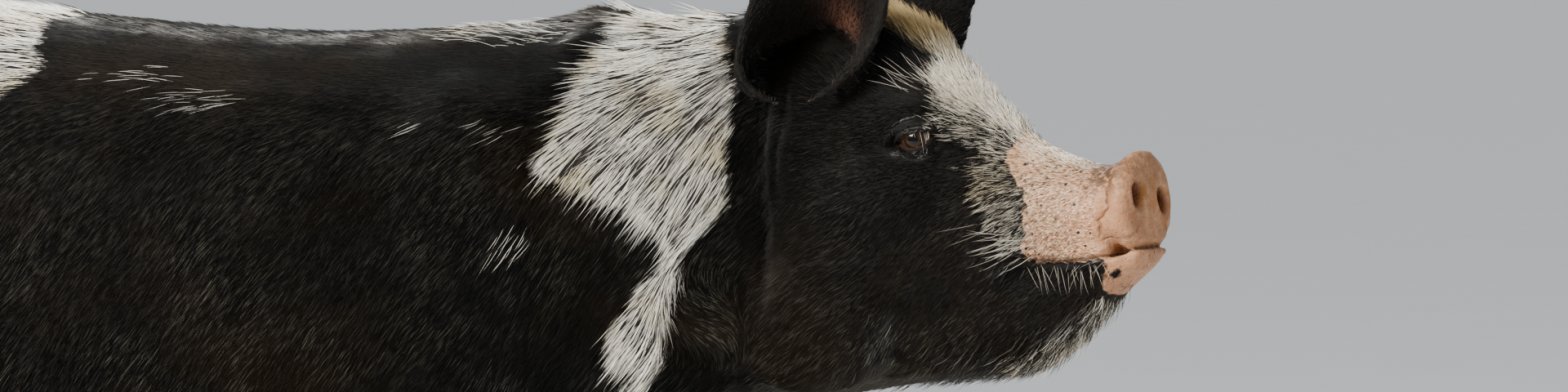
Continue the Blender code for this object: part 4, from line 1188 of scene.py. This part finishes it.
def eyeFinish():
    made = Finish("eyeball")
    off = made.read("off")
    colour = made.mix(made.noise(420.0, 2.0), tones["iris"], tones["irisDark"])
    pupil, iris = eyeShape["pupilHalf"], eyeShape["irisHalf"]
    colour = made.mix(made.between(off, pupil, pupil + 0.08), tones["pupil"], colour)
    colour = made.mix(made.between(off, iris, iris + 0.07), colour, tones["eyeRim"])
    made.set(Base_Color=colour, Roughness=0.15, Specular_IOR_Level=0.15)
    made.set(Coat_Weight=0.35, Coat_Roughness=0.03)
    return made.material


def makeEye(side, material):
    upwards = Vector((0.0, 0.0, 1.0))
    turn = upwards.rotation_difference(Vector(fromHead(lidFrame(side)[2]))).to_matrix()
    made = bmesh.new()
    bmesh.ops.create_uvsphere(made, u_segments=40, v_segments=28, radius=eyeShape["radius"])
    off = [corner.co.angle(upwards) for corner in made.verts]
    for corner, angle in zip(made.verts, off):
        share = 1 - float(ease(angle, *eyeShape["corneaEdge"]))
        corner.co *= 1.0 + eyeShape["cornea"] / eyeShape["radius"] * share
        corner.co = turn @ corner.co + eyeMiddle[side]
    mesh = plainMesh("eye_" + side + "_ball", made)
    setLayer(mesh, "off", off)
    mesh.shade_smooth()
    mesh.materials.append(material)
    ball = addObject("eyeball_" + side, mesh)
    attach(ball, "root")
    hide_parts("eye_" + side)


eyeMaterial = eyeFinish()
for side in eyeMiddle:
    makeEye(side, eyeMaterial)
print("eyes done")

# claws

clawMake = dict(edge=0.0018, edgeSteps=3, edgeAngle=math.radians(25.0), rounding=1, flat=0.02)


def hornFinish():
    made = Finish("hornClaw")
    rings = made.noise(1.0, 2.0, 0.5, made.stretched((14.0, 14.0, 330.0)))
    patches = made.noise(45.0, 3.0)
    colour = made.mix(made.between(patches, 0.3, 0.7), tones["horn"], tones["hornPale"])
    colour = made.mix(made.between(rings, 0.52, 0.70) * 0.35, colour, tones["hornRing"])
    made.set(Base_Color=colour, Roughness=0.42 + patches * 0.15)
    made.relief(rings + patches * 0.3, 0.0006, 0.5)
    return made.material


def makeClaws():
    joined = bmesh.new()
    for name in clawNodes:
        mesh = plainMesh("claw", mergedCopy(name))
        joined.from_mesh(mesh)
        bpy.data.meshes.remove(mesh)
    bmesh.ops.dissolve_limit(joined, angle_limit=clawMake["flat"], verts=joined.verts, edges=joined.edges)
    mesh = plainMesh("claws", joined)
    claws = addObject("claws", mesh)
    edge = claws.modifiers.new("edge", "BEVEL")
    edge.width = clawMake["edge"]
    edge.segments = clawMake["edgeSteps"]
    edge.limit_method = "ANGLE"
    edge.angle_limit = clawMake["edgeAngle"]
    rounding = claws.modifiers.new("round", "SUBSURF")
    rounding.levels = clawMake["rounding"]
    rounding.render_levels = clawMake["rounding"]
    mesh.materials.append(hornFinish())
    mesh.shade_smooth()
    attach(claws, "root")
    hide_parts(*clawNodes)


makeClaws()
print("claws done")

# floor, light and camera

floorReach = 120.0  # so far that its edge never shows
lightPlan = dict(
    key=dict(place=(-1.3, -2.6, 2.5), size=1.4, power=200.0, colour=(1.0, 0.965, 0.91)),
    fill=dict(place=(3.0, -2.6, 1.7), size=2.2, power=16.0, colour=(1.0, 0.98, 0.95)),
    rim=dict(place=(0.4, 2.8, 2.0), size=2.2, power=8.0, colour=(0.90, 0.95, 1.0)),
)
lightAim = (0.25, 0.0, 0.5)
skyPlan = dict(Color=(0.83, 0.86, 0.90, 1.0), Strength=0.62)
cameraPlan = dict(turn=math.radians(8.0), across=0.452, height=0.596, away=4.0, eyeHeight=0.80, wide=1.26)


def makeFloor():
    made = bmesh.new()
    bmesh.ops.create_circle(made, cap_ends=True, segments=64, radius=floorReach)
    mesh = plainMesh("floor", made)
    floor = addObject("floor", mesh)
    finish = Finish("paleFloor")
    finish.set(Base_Color=finish.mix(finish.noise(3.0), tones["floor"], tones["floorPale"]), Roughness=0.75)
    mesh.materials.append(finish.material)


def makeLights():
    for name, plan in lightPlan.items():
        lamp = bpy.data.lights.new(name, "AREA")
        lamp.size = plan["size"]
        lamp.energy = plan["power"]
        lamp.color = plan["colour"]
        made = addObject(name, lamp)
        made.location = plan["place"]
        aim = Vector(lightAim) - made.location
        made.rotation_euler = aim.to_track_quat("-Z", "Y").to_euler()
    world = bpy.data.worlds.new("studio")
    world.use_nodes = True
    for key, value in skyPlan.items():
        world.node_tree.nodes["Background"].inputs[key].default_value = value
    bpy.context.scene.world = world
    bpy.context.scene.view_settings.look = "AgX - Medium High Contrast"


def makeCamera():
    turn = cameraPlan["turn"]
    right = Vector((math.cos(turn), math.sin(turn), 0.0))
    ahead = Vector((-math.sin(turn), math.cos(turn), 0.0))
    target = right * cameraPlan["across"] + Vector((0.0, 0.0, cameraPlan["height"]))
    camera = addObject("camera", bpy.data.cameras.new("camera"))
    camera.location = target - ahead * cameraPlan["away"]
    camera.location.z = cameraPlan["eyeHeight"]
    view = target - camera.location
    camera.rotation_euler = view.to_track_quat("-Z", "Y").to_euler()
    camera.data.sensor_width = 36.0
    camera.data.lens = 36.0 * view.length / cameraPlan["wide"]
    bpy.context.scene.camera = camera


makeFloor()
makeLights()
makeCamera()
